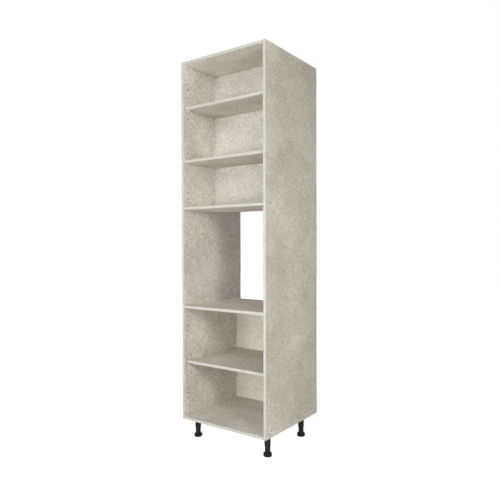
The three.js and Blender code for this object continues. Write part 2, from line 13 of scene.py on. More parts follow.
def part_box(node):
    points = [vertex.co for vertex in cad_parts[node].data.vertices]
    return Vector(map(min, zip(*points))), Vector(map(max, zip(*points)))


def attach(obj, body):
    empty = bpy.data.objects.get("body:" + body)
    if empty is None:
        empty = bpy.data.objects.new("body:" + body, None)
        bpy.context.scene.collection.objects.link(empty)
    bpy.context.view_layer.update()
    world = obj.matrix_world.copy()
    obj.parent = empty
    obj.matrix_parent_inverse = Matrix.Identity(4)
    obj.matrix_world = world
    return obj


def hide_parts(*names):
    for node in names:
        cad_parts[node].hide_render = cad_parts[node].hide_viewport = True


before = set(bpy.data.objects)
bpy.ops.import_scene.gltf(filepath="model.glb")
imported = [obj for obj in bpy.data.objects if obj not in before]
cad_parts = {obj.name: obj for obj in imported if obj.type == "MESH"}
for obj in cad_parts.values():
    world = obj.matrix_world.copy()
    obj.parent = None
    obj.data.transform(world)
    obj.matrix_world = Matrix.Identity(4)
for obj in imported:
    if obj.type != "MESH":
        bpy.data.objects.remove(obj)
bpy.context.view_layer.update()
scene = bpy.context.scene
MM = 0.001

# ---------------------------------------------------------------- camera
# The unit is seen from in front and to its right, from about 1.15 metres up, so that the front, the
# inside and the right outer face all show. The lens and the place come from the unit's corners.

CAMERA_PLACE = Vector((1.7885, -2.4846, 1.1495))
CAMERA_LENS = 36.464  # mm, on a 36 mm wide sensor
CAMERA_TURN = math.radians(35.794)  # from straight ahead, towards the left
CAMERA_TILT = math.radians(-0.504)
CAMERA_ROLL = math.radians(-0.135)

camera_data = bpy.data.cameras.new("camera")
camera_data.lens = CAMERA_LENS
camera_data.sensor_width = 36.0
camera_data.clip_start = 0.05
camera = bpy.data.objects.new("camera", camera_data)
scene.collection.objects.link(camera)
camera.matrix_world = (
    Matrix.Translation(CAMERA_PLACE)
    @ Matrix.Rotation(CAMERA_TURN, 4, "Z")
    @ Matrix.Rotation(math.radians(90) + CAMERA_TILT, 4, "X")
    @ Matrix.Rotation(CAMERA_ROLL, 4, "Z")
)
scene.camera = camera

# ---------------------------------------------------------------- studio
# A white studio: seven softboxes on stands, a dim surround, and a white floor. The key stands well
# to the right, so it lights the inside only as far as the right side and the boards let it.

scene.view_settings.view_transform = "Standard"
scene.view_settings.look = "None"

STUDIO_MIDDLE = Vector((0.0, 0.0, 1.1))
SOFTBOXES = {
    # name: (degrees to the right of straight ahead, metres off, metres up, side in metres, watts)
    "key": (59, 3.3, 1.65, 0.45, 37.0),
    "front": (15, 7.0, 1.1, 2.2, 165.0),
    "front_mid": (15, 6.58, 3.49, 2.2, 150.0),
    "front_high": (15, 5.36, 5.6, 2.2, 145.0),
    "low_left": (-12, 3.6, 0.7, 0.8, 43.0),
    "low_right": (32, 3.6, 0.7, 1.4, 15.0),
    "rear_fill": (-112, 7.0, 1.1, 2.2, 110.0),
}
SURROUND_LIGHT = 0.15
FLOOR_COLOUR = "#f7f7f7"
FLOOR_REACH = 14.0
FLOOR_SHADED_NEAR = (0.4, 0.7)  # metres from the unit's middle, and how white the floor shows there
FLOOR_FAR = (3.0, 1.0)


def linear_channel(value):
    return value / 12.92 if value <= 0.04045 else ((value + 0.055) / 1.055) ** 2.4


def paint(hex_text):
    """An sRGB hex colour as the linear colour that a socket takes."""
    channels = [int(hex_text[place : place + 2], 16) / 255 for place in (1, 3, 5)]
    return (*[linear_channel(value) for value in channels], 1.0)


def add_node(tree, kind, feeds=None, **settings):
    """Adds a node with its settings. Its inputs are fed from nodes, sockets or plain values."""
    made = tree.nodes.new(kind)
    for name, value in settings.items():
        setattr(made, name, value)
    for key, source in (feeds or {}).items():
        if isinstance(key, int):
            socket = made.inputs[key]
        else:
            socket = next(one for one in made.inputs if one.enabled and one.name == key)
        if isinstance(source, bpy.types.Node):
            source = next(one for one in source.outputs if one.enabled)
        if isinstance(source, bpy.types.NodeSocket):
            tree.links.new(source, socket)
        else:
            socket.default_value = source
    return made


for name, (turn, off, up, side, power) in SOFTBOXES.items():
    turn = math.radians(turn)
    light_data = bpy.data.lights.new(name, "AREA")
    light_data.shape = "SQUARE"
    light_data.size = side
    light_data.energy = power
    light = bpy.data.objects.new(name, light_data)
    light.location = (off * math.sin(turn), -off * math.cos(turn), up)
    light.rotation_euler = (STUDIO_MIDDLE - light.location).to_track_quat("-Z", "Y").to_euler()
    light.visible_camera = False
    scene.collection.objects.link(light)

surround = bpy.data.worlds.new("surround")
surround.use_nodes = True
surround.node_tree.nodes.clear()
seen = add_node(surround.node_tree, "ShaderNodeLightPath").outputs["Is Camera Ray"]
soft = add_node(surround.node_tree, "ShaderNodeBackground", {"Strength": SURROUND_LIGHT})
white = add_node(surround.node_tree, "ShaderNodeBackground", {"Strength": 1.0})
for background in (soft, white):
    background.inputs["Color"].default_value = paint("#ffffff")
mixed = add_node(
    surround.node_tree,
    "ShaderNodeMixShader",
    {0: seen, 1: soft.outputs[0], 2: white.outputs[0]},
)
add_node(surround.node_tree, "ShaderNodeOutputWorld", {"Surface": mixed.outputs[0]})
scene.world = surround

floor_material = bpy.data.materials.new("white_floor")
floor_material.use_nodes = True
floor_shader = floor_material.node_tree.nodes["Principled BSDF"]
floor_shader.inputs["Base Color"].default_value = paint(FLOOR_COLOUR)
floor_shader.inputs["Roughness"].default_value = 0.9
floor_shader.inputs["Emission Color"].default_value = paint("#ffffff")
tree = floor_material.node_tree
# The floor's glow is seen by the camera only, and is dimmer near the unit than far off: painted
# shade that greys the floor round the unit's base.
floor_spots = add_node(tree, "ShaderNodeTexCoord").outputs["Object"]
off_unit = add_node(tree, "ShaderNodeVectorMath", {0: floor_spots}, operation="LENGTH")
shown = add_node(
    tree,
    "ShaderNodeMapRange",
    {
        "Value": off_unit.outputs["Value"],
        "From Min": FLOOR_SHADED_NEAR[0],
        "From Max": FLOOR_FAR[0],
        "To Min": FLOOR_SHADED_NEAR[1],
        "To Max": FLOOR_FAR[1],
    },
)
seen = add_node(tree, "ShaderNodeLightPath").outputs["Is Camera Ray"]
floor_glow_with_painted_shade = add_node(tree, "ShaderNodeMix", {"Factor": seen, "A": 0.0, "B": shown})
tree.links.new(floor_glow_with_painted_shade.outputs[0], floor_shader.inputs["Emission Strength"])
floor_mesh = bpy.data.meshes.new("floor")
floor_mesh.from_pydata(
    [(x * FLOOR_REACH, y * FLOOR_REACH, 0.0) for x, y in ((-1, -1), (1, -1), (1, 1), (-1, 1))],
    [],
    [(0, 1, 2, 3)],
)
floor_mesh.materials.append(floor_material)
floor = bpy.data.objects.new("floor", floor_mesh)
scene.collection.objects.link(floor)

# ---------------------------------------------------------------- side panels
# The two sides of the carcass: 16 mm particleboard, faced on both sides with printed film. Each is
# sawn to size, then bored for shelf pins, hinge plates, dowels and joining screws, and grooved for
# the backs. Their rear, top and bottom edges are left raw; the walls of the borings are painted
# near black as shade.

INNER_FACE = 284 * MM  # from the middle of the unit
OUTER_FACE = 300 * MM
SAW_ARRIS = 0.25 * MM  # a sawn edge is almost sharp
OVERCUT = 0.1 * MM  # a cutter starts this far outside the face
BORING_SIDES = 40
MOUTH_FLARE = 1.55  # the mouth of a boring is eased this much wider than its bore
MOUTH_LIP = 0.012  # it is as wide as that over this share of its depth
MOUTH_DEPTH = 0.14  # and narrows down to the bore over this share

FRONT_ROW = -243 * MM
UPPER_REAR_ROW = -32 * MM
LOWER_FRONT_ROW = -221 * MM
LOWER_REAR_ROW = 198 * MM
PIN_HEIGHTS = {"high_shelf": 1951.4 * MM, "low_shelf": 1636.4 * MM, "bottom_shelf": 445.4 * MM}
PIN_ROWS = {
    "high_shelf": {"front": FRONT_ROW, "rear": UPPER_REAR_ROW},
    "low_shelf": {"front": FRONT_ROW, "rear": UPPER_REAR_ROW},
    "bottom_shelf": {"front": LOWER_FRONT_ROW, "rear": LOWER_REAR_ROW},
}
# Steps from the used boring to its spares above and below, in both rows, then in the rear row only
PIN_STEPS = {"high_shelf": (-50, 0, 76), "low_shelf": (-52, 0, 64), "bottom_shelf": (-60, 0, 50)}
REAR_SPARES = {"high_shelf": (118,), "low_shelf": (82,), "bottom_shelf": ()}
PIN_BORING = (2.6 * MM, 10 * MM)  # radius, depth
HINGE_BORING = (2.6 * MM, 12 * MM)
HINGE_PAIR_CENTRES = (254 * MM, 655.5 * MM, 1446 * MM, 2096 * MM)
HINGE_HALF_SPACING = 16 * MM
PILOT_BORING = (2.6 * MM, 8 * MM)
PILOT_PLACES = (
    (-235 * MM, 2204 * MM),
    (-69 * MM, 2204 * MM),
    (-235 * MM, 1378 * MM),
    (-69 * MM, 1378 * MM),
    (-227 * MM, 160 * MM),
    (-7 * MM, 160 * MM),
    (213 * MM, 160 * MM),
)
DOWEL_BORING = (4.3 * MM, 11 * MM)
DOWEL_ROWS = {
    # board: (height of its middle, the two places along its end)
    "top_panel": (2224 * MM, {"front": -200 * MM, "rear": -30 * MM}),
    "above_oven_shelf": (1369 * MM, {"front": -200 * MM, "rear": -30 * MM}),
    "oven_deck": (787.5 * MM, {"front": -200 * MM, "rear": 192 * MM}),
    "base_panel": (128 * MM, {"front": -200 * MM, "rear": 192 * MM}),
}
SIDE_GROOVES = (
    # lowest and highest (y, z) of each stopped groove, cut 6 mm deep from the inside
    ((9.7 * MM, 1371.0 * MM), (18.3 * MM, 2222.0 * MM)),
    ((231.7 * MM, 130.0 * MM), (240.3 * MM, 791.8 * MM)),
)
GROOVE_FLOOR = 278 * MM

# Melamine film, printed with a fine concrete pattern and pressed with a pearled plate: matt, softly
# clouded, faintly brushed on the slant, with a sandy speckle. The sizes are those of the print.
FILM_TONES = ("#d9d2c6", "#bfb8aa", "#a49c8d")  # pale, mid, deep
# The inside film has the same print in slightly cooler tones, painted to offset the warm light that
# its boards share.
INNER_LIGHT_OFFSET_TONES = ("#d9d4cb", "#bfb9ae", "#a49d91")
PRINT_LAYERS = {
    # layer: (size, detail, roughness, weight in the print)
    "drifting_clouds": (230 * MM, 3.0, 0.55, 1.2),
    "trowelled_blotches": (40 * MM, 4.0, 0.6, 0.6),
    "slanting_brush_marks": (14 * MM, 2.0, 0.5, 0.6),
    "clusters_of_sand": (12 * MM, 2.0, 0.6, 0.8),
    "single_grains": (6.5 * MM, 1.0, 0.5, 1.9),  # about four times too coarse, so that they show
}
BRUSH_LENGTH = 8.0  # times the width of a brush mark
BRUSH_SLANT = (math.radians(52), math.radians(-14), math.radians(-20))
PEARL_SIZE = 1.5 * MM  # relief of the pressing plate


def new_material(name):
    """A named material: its tree, its shader, and the object coordinates that patterns read."""
    material = bpy.data.materials.new(name)
    material.use_nodes = True
    tree = material.node_tree
    shader = tree.nodes["Principled BSDF"]
    spots = add_node(tree, "ShaderNodeTexCoord").outputs["Object"]
    return material, tree, shader, spots


def printed_film(name, tones):
    """Melamine film in three tones of one print."""
    pale, mid, deep = tones
    material, tree, shader, spots = new_material(name)
    slanted = add_node(
        tree,
        "ShaderNodeMapping",
        {"Vector": spots, "Rotation": BRUSH_SLANT, "Scale": (1.0, 1.0, BRUSH_LENGTH)},
        vector_type="TEXTURE",
    )
    printed = {}
    tone = 0.5
    for layer, (size, detail, roughness, weight) in PRINT_LAYERS.items():
        around = slanted if layer == "slanting_brush_marks" else spots
        printed[layer] = add_node(
            tree,
            "ShaderNodeTexNoise",
            {"Vector": around, "Scale": 1 / size, "Detail": detail, "Roughness": roughness},
        )
        share = add_node(
            tree,
            "ShaderNodeMath",
            {0: printed[layer], 1: weight, 2: -0.5 * weight},
            operation="MULTIPLY_ADD",
        )
        tone = add_node(tree, "ShaderNodeMath", {0: share, 1: tone}, operation="ADD")
    print_colours = add_node(tree, "ShaderNodeValToRGB", {"Fac": tone})
    print_colours.color_ramp.elements[0].color = paint(deep)
    print_colours.color_ramp.elements[1].color = paint(pale)
    print_colours.color_ramp.elements.new(0.5).color = paint(mid)
    tree.links.new(print_colours.outputs["Color"], shader.inputs["Base Color"])
    blotches = printed["trowelled_blotches"]
    sheen = add_node(
        tree,
        "ShaderNodeMapRange",
        {"Value": blotches, "From Min": 0.3, "From Max": 0.7, "To Min": 0.6, "To Max": 0.74},
    )
    tree.links.new(sheen.outputs[0], shader.inputs["Roughness"])
    pearl = add_node(
        tree, "ShaderNodeTexNoise", {"Vector": spots, "Scale": 1 / PEARL_SIZE, "Detail": 2.0}
    )
    relief = add_node(
        tree, "ShaderNodeBump", {"Height": pearl, "Strength": 0.3, "Distance": 0.12 * MM}
    )
    tree.links.new(relief.outputs[0], shader.inputs["Normal"])
    return material


stone_film = printed_film("stone_effect_melamine_film", FILM_TONES)
inner_film = printed_film("stone_effect_inner_film", INNER_LIGHT_OFFSET_TONES)

# Raw particleboard, sawn: straw-coloured chips a few millimetres long in the middle layer, fine
# dense ones under each face, and the film as a thin pale line on the very edge.
CHIP_SIZE = 2.6 * MM
CHIP_TONES = ("#8d714e", "#d9bf96")
FINES_SIZE = 1.0 * MM
FINES_TONES = ("#9a8160", "#c0a67e")
FINES_FROM = (0.29, 0.35)  # where the fines take over, as shares of the thickness off the middle
FILM_FROM = (0.485, 0.49)  # and where the film does

raw_board, tree, shader, spots = new_material("raw_particleboard_sawn")
chips = add_node(tree, "ShaderNodeTexVoronoi", {"Vector": spots, "Scale": 1 / CHIP_SIZE})
fines = add_node(tree, "ShaderNodeTexVoronoi", {"Vector": spots, "Scale": 1 / FINES_SIZE})
chip_tone = add_node(tree, "ShaderNodeSeparateColor", {"Color": chips.outputs["Color"]})
fines_tone = add_node(tree, "ShaderNodeSeparateColor", {"Color": fines.outputs["Color"]})
layers = []
for source, tones in ((chip_tone, CHIP_TONES), (fines_tone, FINES_TONES)):
    ramp = add_node(tree, "ShaderNodeValToRGB", {"Fac": source.outputs[0]})
    ramp.color_ramp.elements[0].color = paint(tones[0])
    ramp.color_ramp.elements[1].color = paint(tones[1])
    layers.append(ramp)
across = add_node(tree, "ShaderNodeAttribute", attribute_name="across").outputs["Fac"]
off_middle = add_node(tree, "ShaderNodeMath", {0: across, 1: 0.5}, operation="SUBTRACT")
off_middle = add_node(tree, "ShaderNodeMath", {0: off_middle}, operation="ABSOLUTE")
sawn = layers[0]
for (start, end), colour in ((FINES_FROM, layers[1]), (FILM_FROM, paint(FILM_TONES[1]))):
    shown = add_node(
        tree, "ShaderNodeMapRange", {"Value": off_middle, "From Min": start, "From Max": end}
    )
    sawn = add_node(
        tree, "ShaderNodeMix", {"Factor": shown, "A": sawn, "B": colour}, data_type="RGBA"
    )
tree.links.new(next(one for one in sawn.outputs if one.enabled), shader.inputs["Base Color"])
grit = add_node(
    tree,
    "ShaderNodeBump",
    {"Height": chips.outputs["Distance"], "Strength": 0.7, "Distance": 0.35 * MM},
)
tree.links.new(grit.outputs[0], shader.inputs["Normal"])
shader.inputs["Roughness"].default_value = 0.9


def two_toned(name, size, detail, tones, stops=(0.0, 1.0), squeeze=(1.0, 1.0, 1.0)):
    """A material whose colour wanders between two tones, over patches of one size."""
    material, tree, shader, spots = new_material(name)
    squeezed = add_node(tree, "ShaderNodeMapping", {"Vector": spots, "Scale": squeeze})
    patches = add_node(
        tree, "ShaderNodeTexNoise", {"Vector": squeezed, "Scale": 1 / size, "Detail": detail}
    )
    colours = add_node(tree, "ShaderNodeValToRGB", {"Fac": patches})
    for element, stop, tone in zip(colours.color_ramp.elements, stops, tones):
        element.position = stop
        element.color = paint(tone)
    tree.links.new(colours.outputs["Color"], shader.inputs["Base Color"])
    return material, tree, shader, spots


# The walls of a boring are painted near black: painted shade of the deep, narrow hole, on top of
# the slight scorch of the bit, so a hole reads as a dark dot.
BORED_SHADE_TONES = ("#120f0b", "#2b231a")

bored_wall_shade, _, shader, _ = two_toned("bored_particleboard_shaded", FINES_SIZE, 2.0, BORED_SHADE_TONES)
shader.inputs["Roughness"].default_value = 0.95


def new_tree(name, inputs):
    """A geometry tree with a geometry input, named inputs for its sizes, and one output."""
    tree = bpy.data.node_groups.new(name, "GeometryNodeTree")
    tree.interface.new_socket("Geometry", in_out="INPUT", socket_type="NodeSocketGeometry")
    for label, kind in inputs.items():
        tree.interface.new_socket(label, in_out="INPUT", socket_type=f"NodeSocket{kind}")
    tree.interface.new_socket("Geometry", in_out="OUTPUT", socket_type="NodeSocketGeometry")
    return tree, add_node(tree, "NodeGroupInput").outputs


def worked(mesh, tree, settings):
    """Runs a geometry tree on a mesh, and gives the result as a plain mesh."""
    blank = bpy.data.objects.new("blank", mesh)
    scene.collection.objects.link(blank)
    modifier = blank.modifiers.new("work", "NODES")
    modifier.node_group = tree
    for socket in tree.interface.items_tree:
        if socket.in_out == "INPUT" and socket.name in settings:
            modifier[socket.identifier] = settings[socket.name]
    seen_by = bpy.context.evaluated_depsgraph_get()
    result = bpy.data.meshes.new_from_object(
        blank.evaluated_get(seen_by), preserve_all_data_layers=True, depsgraph=seen_by
    )
    blank.modifiers.remove(modifier)
    bpy.data.objects.remove(blank)
    return result


def fitted(name, mesh, body, slot, *nodes, crease=30):
    """Puts a finished mesh on its body, in place of the CAD nodes that it stands for."""
    mesh.name = name
    mesh.shade_smooth()
    mesh.set_sharp_from_angle(angle=math.radians(crease))
    piece = bpy.data.objects.new(name, mesh)
    scene.collection.objects.link(piece)
    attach(piece, body)
    if nodes:
        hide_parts(*nodes)
    return piece


def block_mesh(low, high, arris=0.0):
    """A block between two corners, with its edges eased by a narrow flat."""
    shape = bmesh.new()
    bmesh.ops.create_cube(shape, size=1.0)
    low = Vector(low)
    high = Vector(high)
    for vert in shape.verts:
        vert.co = [low[i] + (vert.co[i] + 0.5) * (high[i] - low[i]) for i in range(3)]
    if arris:
        bmesh.ops.bevel(shape, geom=shape.edges[:], offset=arris, segments=1, affect="EDGES")
    mesh = bpy.data.meshes.new("block")
    shape.to_mesh(mesh)
    shape.free()
    return mesh


def cutter_object(name, mesh):
    made = bpy.data.objects.new(name, mesh)
    scene.collection.objects.link(made)
    return made


BORING_NOTES = {"into": "FLOAT_VECTOR", "radius": "FLOAT", "depth": "FLOAT"}


def boring_points(borings):
    """One point for each boring, as (mouth, direction into the board, radius, depth)."""
    mesh = bpy.data.meshes.new("borings")
    mesh.from_pydata([mouth - direction * OVERCUT for mouth, direction, _, _ in borings], [], [])
    for note, kind in BORING_NOTES.items():
        mesh.attributes.new(note, kind, "POINT")
    for i, (_, direction, radius, depth) in enumerate(borings):
        mesh.attributes["into"].data[i].vector = direction
        mesh.attributes["radius"].data[i].value = radius
        mesh.attributes["depth"].data[i].value = depth + OVERCUT
    return mesh


def groove_blocks(boxes):
    """All grooves of one board as one mesh of blocks."""
    shape = bmesh.new()
    for low, high in boxes:
        piece = block_mesh(low, high)
        shape.from_mesh(piece)
        bpy.data.meshes.remove(piece)
    mesh = bpy.data.meshes.new("grooves")
    shape.to_mesh(mesh)
    shape.free()
    return mesh


def turned_mesh(profile, sides, closed=False):
    """A mesh turned on the Z axis from (radius, height) pairs, listed upwards on the outside.

    The profile starts and ends on the axis, or closes on itself round a bore.
    """
    verts = []
    rings = []
    for turned_radius, height in profile:
        if turned_radius == 0:
            rings.append([len(verts)] * sides)
            verts.append((0.0, 0.0, height))
            continue
        rings.append(list(range(len(verts), len(verts) + sides)))
        for i in range(sides):
            angle = math.tau * i / sides
            verts.append((turned_radius * math.cos(angle), turned_radius * math.sin(angle), height))
    faces = []
    pairs = list(zip(rings, rings[1:]))
    if closed:
        pairs.append((rings[-1], rings[0]))
    for lower, upper in pairs:
        for i in range(sides):
            j = (i + 1) % sides
            corners = [lower[i], lower[j], upper[j], upper[i]]
            faces.append(tuple(dict.fromkeys(corners)))
    mesh = bpy.data.meshes.new("turned")
    mesh.from_pydata(verts, [], faces)
    return mesh


# The tree that finishes every board: it drills one round boring at each point, cuts the grooves,
# notes how far each place lies through the thickness, and films the two broad faces.
FILM_SHARE = 0.008  # of the thickness, within which a place is on a broad face

board_tree, board_in = new_tree(
    "bored_board",
    {
        "Borings": "Object",
        "Grooves": "Object",
        "Bit": "Object",
        "Thickness Axis": "Vector",
        "Lower Face": "Float",
        "Upper Face": "Float",
        "Core": "Material",
        "Bored": "Material",
        "Lower Film": "Material",
        "Upper Film": "Material",
    },
)
tree = board_tree
bit = add_node(tree, "GeometryNodeObjectInfo", {"Object": board_in["Bit"]})
places = add_node(tree, "GeometryNodeObjectInfo", {"Object": board_in["Borings"]})
into, radius, depth = (
    add_node(tree, "GeometryNodeInputNamedAttribute", {"Name": note}, data_type=kind)
    for note, kind in BORING_NOTES.items()
)
facing = add_node(tree, "FunctionNodeAlignRotationToVector", {"Vector": into}, axis="Z")
size = add_node(tree, "ShaderNodeCombineXYZ", {"X": radius, "Y": radius, "Z": depth})
drilled = add_node(
    tree,
    "GeometryNodeInstanceOnPoints",
    {
        "Points": places.outputs["Geometry"],
        "Instance": bit.outputs["Geometry"],
        "Rotation": facing,
        "Scale": size,
    },
)
drilled = add_node(tree, "GeometryNodeRealizeInstances", {"Geometry": drilled})
drilled = add_node(
    tree, "GeometryNodeSetMaterial", {"Geometry": drilled, "Material": board_in["Bored"]}
)
grooves = add_node(tree, "GeometryNodeObjectInfo", {"Object": board_in["Grooves"]})
cored, grooves = (
    add_node(tree, "GeometryNodeSetMaterial", {"Geometry": raw, "Material": board_in["Core"]})
    for raw in (board_in["Geometry"], grooves.outputs["Geometry"])
)
cut = add_node(
    tree, "GeometryNodeMeshBoolean", {"Mesh 1": cored}, operation="DIFFERENCE", solver="EXACT"
)
tree.links.new(drilled.outputs[0], cut.inputs["Mesh 2"])
tree.links.new(grooves.outputs[0], cut.inputs["Mesh 2"])
through = add_node(
    tree,
    "ShaderNodeVectorMath",
    {0: add_node(tree, "GeometryNodeInputPosition"), 1: board_in["Thickness Axis"]},
    operation="DOT_PRODUCT",
)
through = add_node(
    tree,
    "ShaderNodeMapRange",
    {
        "Value": through.outputs["Value"],
        "From Min": board_in["Lower Face"],
        "From Max": board_in["Upper Face"],
    },
)
noted = add_node(
    tree,
    "GeometryNodeStoreNamedAttribute",
    {"Geometry": cut.outputs["Mesh"], "Name": "across", "Value": through},
    data_type="FLOAT",
    domain="POINT",
)
filmed = add_node(tree, "GeometryNodeRealizeInstances", {"Geometry": noted})
for film, side_of, level in (
    ("Lower Film", "LESS_THAN", FILM_SHARE),
    ("Upper Film", "GREATER_THAN", 1 - FILM_SHARE),
):
    face = add_node(tree, "FunctionNodeCompare", {"A": through, "B": level}, operation=side_of)
    filmed = add_node(
        tree,
        "GeometryNodeSetMaterial",
        {"Geometry": filmed, "Selection": face, "Material": board_in[film]},
    )
add_node(tree, "NodeGroupOutput", {"Geometry": filmed})


# The bit, one unit in radius and depth: a plain drill with a shoulder that eases a boring's mouth.
bit_profile = [(0, 0), (MOUTH_FLARE, 0), (MOUTH_FLARE, MOUTH_LIP)]
bit_profile += [(1, MOUTH_DEPTH), (1, 1), (0, 1)]
boring_bit = cutter_object("boring_bit", turned_mesh(bit_profile, BORING_SIDES))


def board_mesh(low, high, axis, films, borings=(), grooves=()):
    """A finished board between two corners: sawn, bored, grooved, and filmed on both faces."""
    drill_marks = cutter_object("drill_marks", boring_points(borings))
    groove_marks = cutter_object("groove_marks", groove_blocks(grooves))
    direction = [0.0, 0.0, 0.0]
    direction[axis] = 1.0
    mesh = worked(
        block_mesh(low, high, SAW_ARRIS),
        board_tree,
        {
            "Borings": drill_marks,
            "Grooves": groove_marks,
            "Bit": boring_bit,
            "Thickness Axis": direction,
            "Lower Face": low[axis],
            "Upper Face": high[axis],
            "Core": raw_board,
            "Bored": bored_wall_shade,
            "Lower Film": films[0],
            "Upper Film": films[1],
        },
    )
    bpy.data.objects.remove(drill_marks)
    bpy.data.objects.remove(groove_marks)
    return mesh


for side, inward in (("left", 1), ("right", -1)):
    outward = Vector((-inward, 0, 0))
    borings = []
    for shelf, height in PIN_HEIGHTS.items():
        for row, y in PIN_ROWS[shelf].items():
            spares = REAR_SPARES[shelf] if row == "rear" else ()
            for step in PIN_STEPS[shelf] + spares:
                borings.append((y, height + step * MM, *PIN_BORING))
    for centre in HINGE_PAIR_CENTRES:
        borings.append((FRONT_ROW, centre - HINGE_HALF_SPACING, *HINGE_BORING))
        borings.append((FRONT_ROW, centre + HINGE_HALF_SPACING, *HINGE_BORING))
    for height, ends in DOWEL_ROWS.values():
        for y in ends.values():
            borings.append((y, height, *DOWEL_BORING))
    drilled_inside = [
        (Vector((-inward * INNER_FACE, y, z)), outward, radius, depth)
        for y, z, radius, depth in borings
    ]
    drilled_outside = [
        (Vector((-inward * OUTER_FACE, y, z)), -outward, *PILOT_BORING) for y, z in PILOT_PLACES
    ]
    grooves = []
    for (low_y, low_z), (high_y, high_z) in SIDE_GROOVES:
        ends = sorted((-inward * GROOVE_FLOOR, -inward * (INNER_FACE - OVERCUT)))
        grooves.append(((ends[0], low_y, low_z), (ends[1], high_y, high_z)))
    low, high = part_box(f"{side}_side_panel")
    films = (stone_film, inner_film)[::inward]
    panel = board_mesh(low, high, 0, films, drilled_inside + drilled_outside, grooves)
    fitted(f"side_board_{side}", panel, "carcass", "stone_effect_board", f"{side}_side_panel")

# ---------------------------------------------------------------- fixed boards
# Top, shelf over the oven, oven deck and base, of the same filmed particleboard. Each is doweled
# and glued between the sides, and three of them are grooved for the backs.

BOARD_DOWEL_DEPTH = 24.5 * MM
BOARD_END = 283.9 * MM
BOARD_GROOVES = {
    # board: lowest and highest (y, z) of its groove, which runs from end to end
    "top_panel": ((9.7 * MM, 2215.9 * MM), (18.3 * MM, 2222.0 * MM)),
    "above_oven_shelf": ((9.7 * MM, 1371.0 * MM), (18.3 * MM, 1377.1 * MM)),
    "base_panel": ((231.7 * MM, 130.0 * MM), (240.3 * MM, 136.1 * MM)),
}
BOARD_PIECES = {
    # board: piece, and the films of its underside and its top
    "top_panel": ("top_board", (inner_film, stone_film)),
    "above_oven_shelf": ("over_oven_board", (inner_film, inner_film)),
    "oven_deck": ("oven_deck_board", (inner_film, inner_film)),
    "base_panel": ("base_board", (stone_film, inner_film)),
}

for node, (piece_name, films) in BOARD_PIECES.items():
    height, ends = DOWEL_ROWS[node]
    borings = []
    for end in (-1, 1):
        for y in ends.values():
            mouth = Vector((end * BOARD_END, y, height))
            borings.append((mouth, Vector((-end, 0, 0)), DOWEL_BORING[0], BOARD_DOWEL_DEPTH))
    grooves = []
    if node in BOARD_GROOVES:
        (low_y, low_z), (high_y, high_z) = BOARD_GROOVES[node]
        grooves.append(((-INNER_FACE, low_y, low_z), (INNER_FACE, high_y, high_z)))
    low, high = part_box(node)
    board = board_mesh(low, high, 2, films, borings, grooves)
    fitted(piece_name, board, "carcass", "stone_effect_board", node)

# ---------------------------------------------------------------- backs
# Two 8 mm backs of filmed board. They slide into the grooves of the sides. Their films have the
# same print as the rest in slightly greyer tones, and each back's tones are painted to even out the
# light that reaches it: the deeper lower back is painted lighter than the upper one.

BACK_LIGHT_OFFSET_TONES = {
    "upper_back": ("#c6c2ba", "#b3afa6", "#a09c93"),
    "lower_back": ("#ccc7bd", "#b9b4a9", "#a6a196"),
}

for node, tones in BACK_LIGHT_OFFSET_TONES.items():
    low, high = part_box(node)
    back_film = printed_film(f"stone_effect_{node}_film", tones)
    board = board_mesh(low, high, 1, (back_film, back_film))
    fitted(f"{node}_board", board, "carcass", "back_board", node)

# ---------------------------------------------------------------- front edging
# A strip of 1 mm ABS is glued to the front edge of every board, then trimmed flush and rounded. It
# faces the light squarely and is smoother than the film, so the fronts read as thin light lines.

STRIP_ROUND = 0.8 * MM
ROUND_STEPS = 5
# The strip's tones are painted darker than the film's: painted shade that tones down the strong
# light falling squarely on the fronts.
STRIP_TONES_DARKENED_FOR_LIGHT = ("#9c9a92", "#a4a29a")
STRIP_STOPS = (0.3, 0.7)
STRIP_SHADE_SIZE = 18 * MM  # a plain warm grey that hardly wanders
STRIP_RIPPLE_SIZE = 1.2 * MM  # faint chatter of the scraper

edging_plastic, tree, shader, spots = two_toned(
    "abs_edging_scraped", STRIP_SHADE_SIZE, 4.0, STRIP_TONES_DARKENED_FOR_LIGHT, STRIP_STOPS
)
ripple = add_node(
    tree, "ShaderNodeTexNoise", {"Vector": spots, "Scale": 1 / STRIP_RIPPLE_SIZE, "Detail": 1.0}
)
relief = add_node(
    tree, "ShaderNodeBump", {"Height": ripple, "Strength": 0.2, "Distance": 0.06 * MM}
)
tree.links.new(relief.outputs[0], shader.inputs["Normal"])
shader.inputs["Roughness"].default_value = 0.42


def bar_mesh(start, end):
    """A bar between two equal rings of points, closed at both ends, with its faces outwards."""
    count = len(start)
    faces = [(i, (i + 1) % count, count + (i + 1) % count, count + i) for i in range(count)]
    faces.append(tuple(range(count - 1, -1, -1)))
    faces.append(tuple(range(count, 2 * count)))
    mesh = bpy.data.meshes.new("bar")
    mesh.from_pydata(start + end, [], faces)
    shape = bmesh.new()
    shape.from_mesh(mesh)
    bmesh.ops.recalc_face_normals(shape, faces=shape.faces[:])
    shape.to_mesh(mesh)
    shape.free()
    return mesh


def strip_mesh(low, high, upright):
    """A strip with rounded front arrises, run out along Z for a side and along X for a shelf."""
    width = (high.x - low.x) if upright else (high.z - low.z)
    thickness = high.y - low.y
    radius = min(STRIP_ROUND, thickness)
    turns = [math.radians(90 * step / ROUND_STEPS) for step in range(ROUND_STEPS + 1)]
    near_arris = [(radius - radius * math.cos(a), radius - radius * math.sin(a)) for a in turns]
    far_arris = [(width - x, y) for x, y in reversed(near_arris)]
    section = [(0.0, thickness), *near_arris, *far_arris, (width, thickness)]
    if upright:
        rings = [[(low.x + x, low.y + y, z) for x, y in section] for z in (low.z, high.z)]
    else:
        rings = [[(x, low.y + y, low.z + z) for z, y in section] for x in (low.x, high.x)]
    mesh = bar_mesh(*rings)
    mesh.materials.append(edging_plastic)
    return mesh


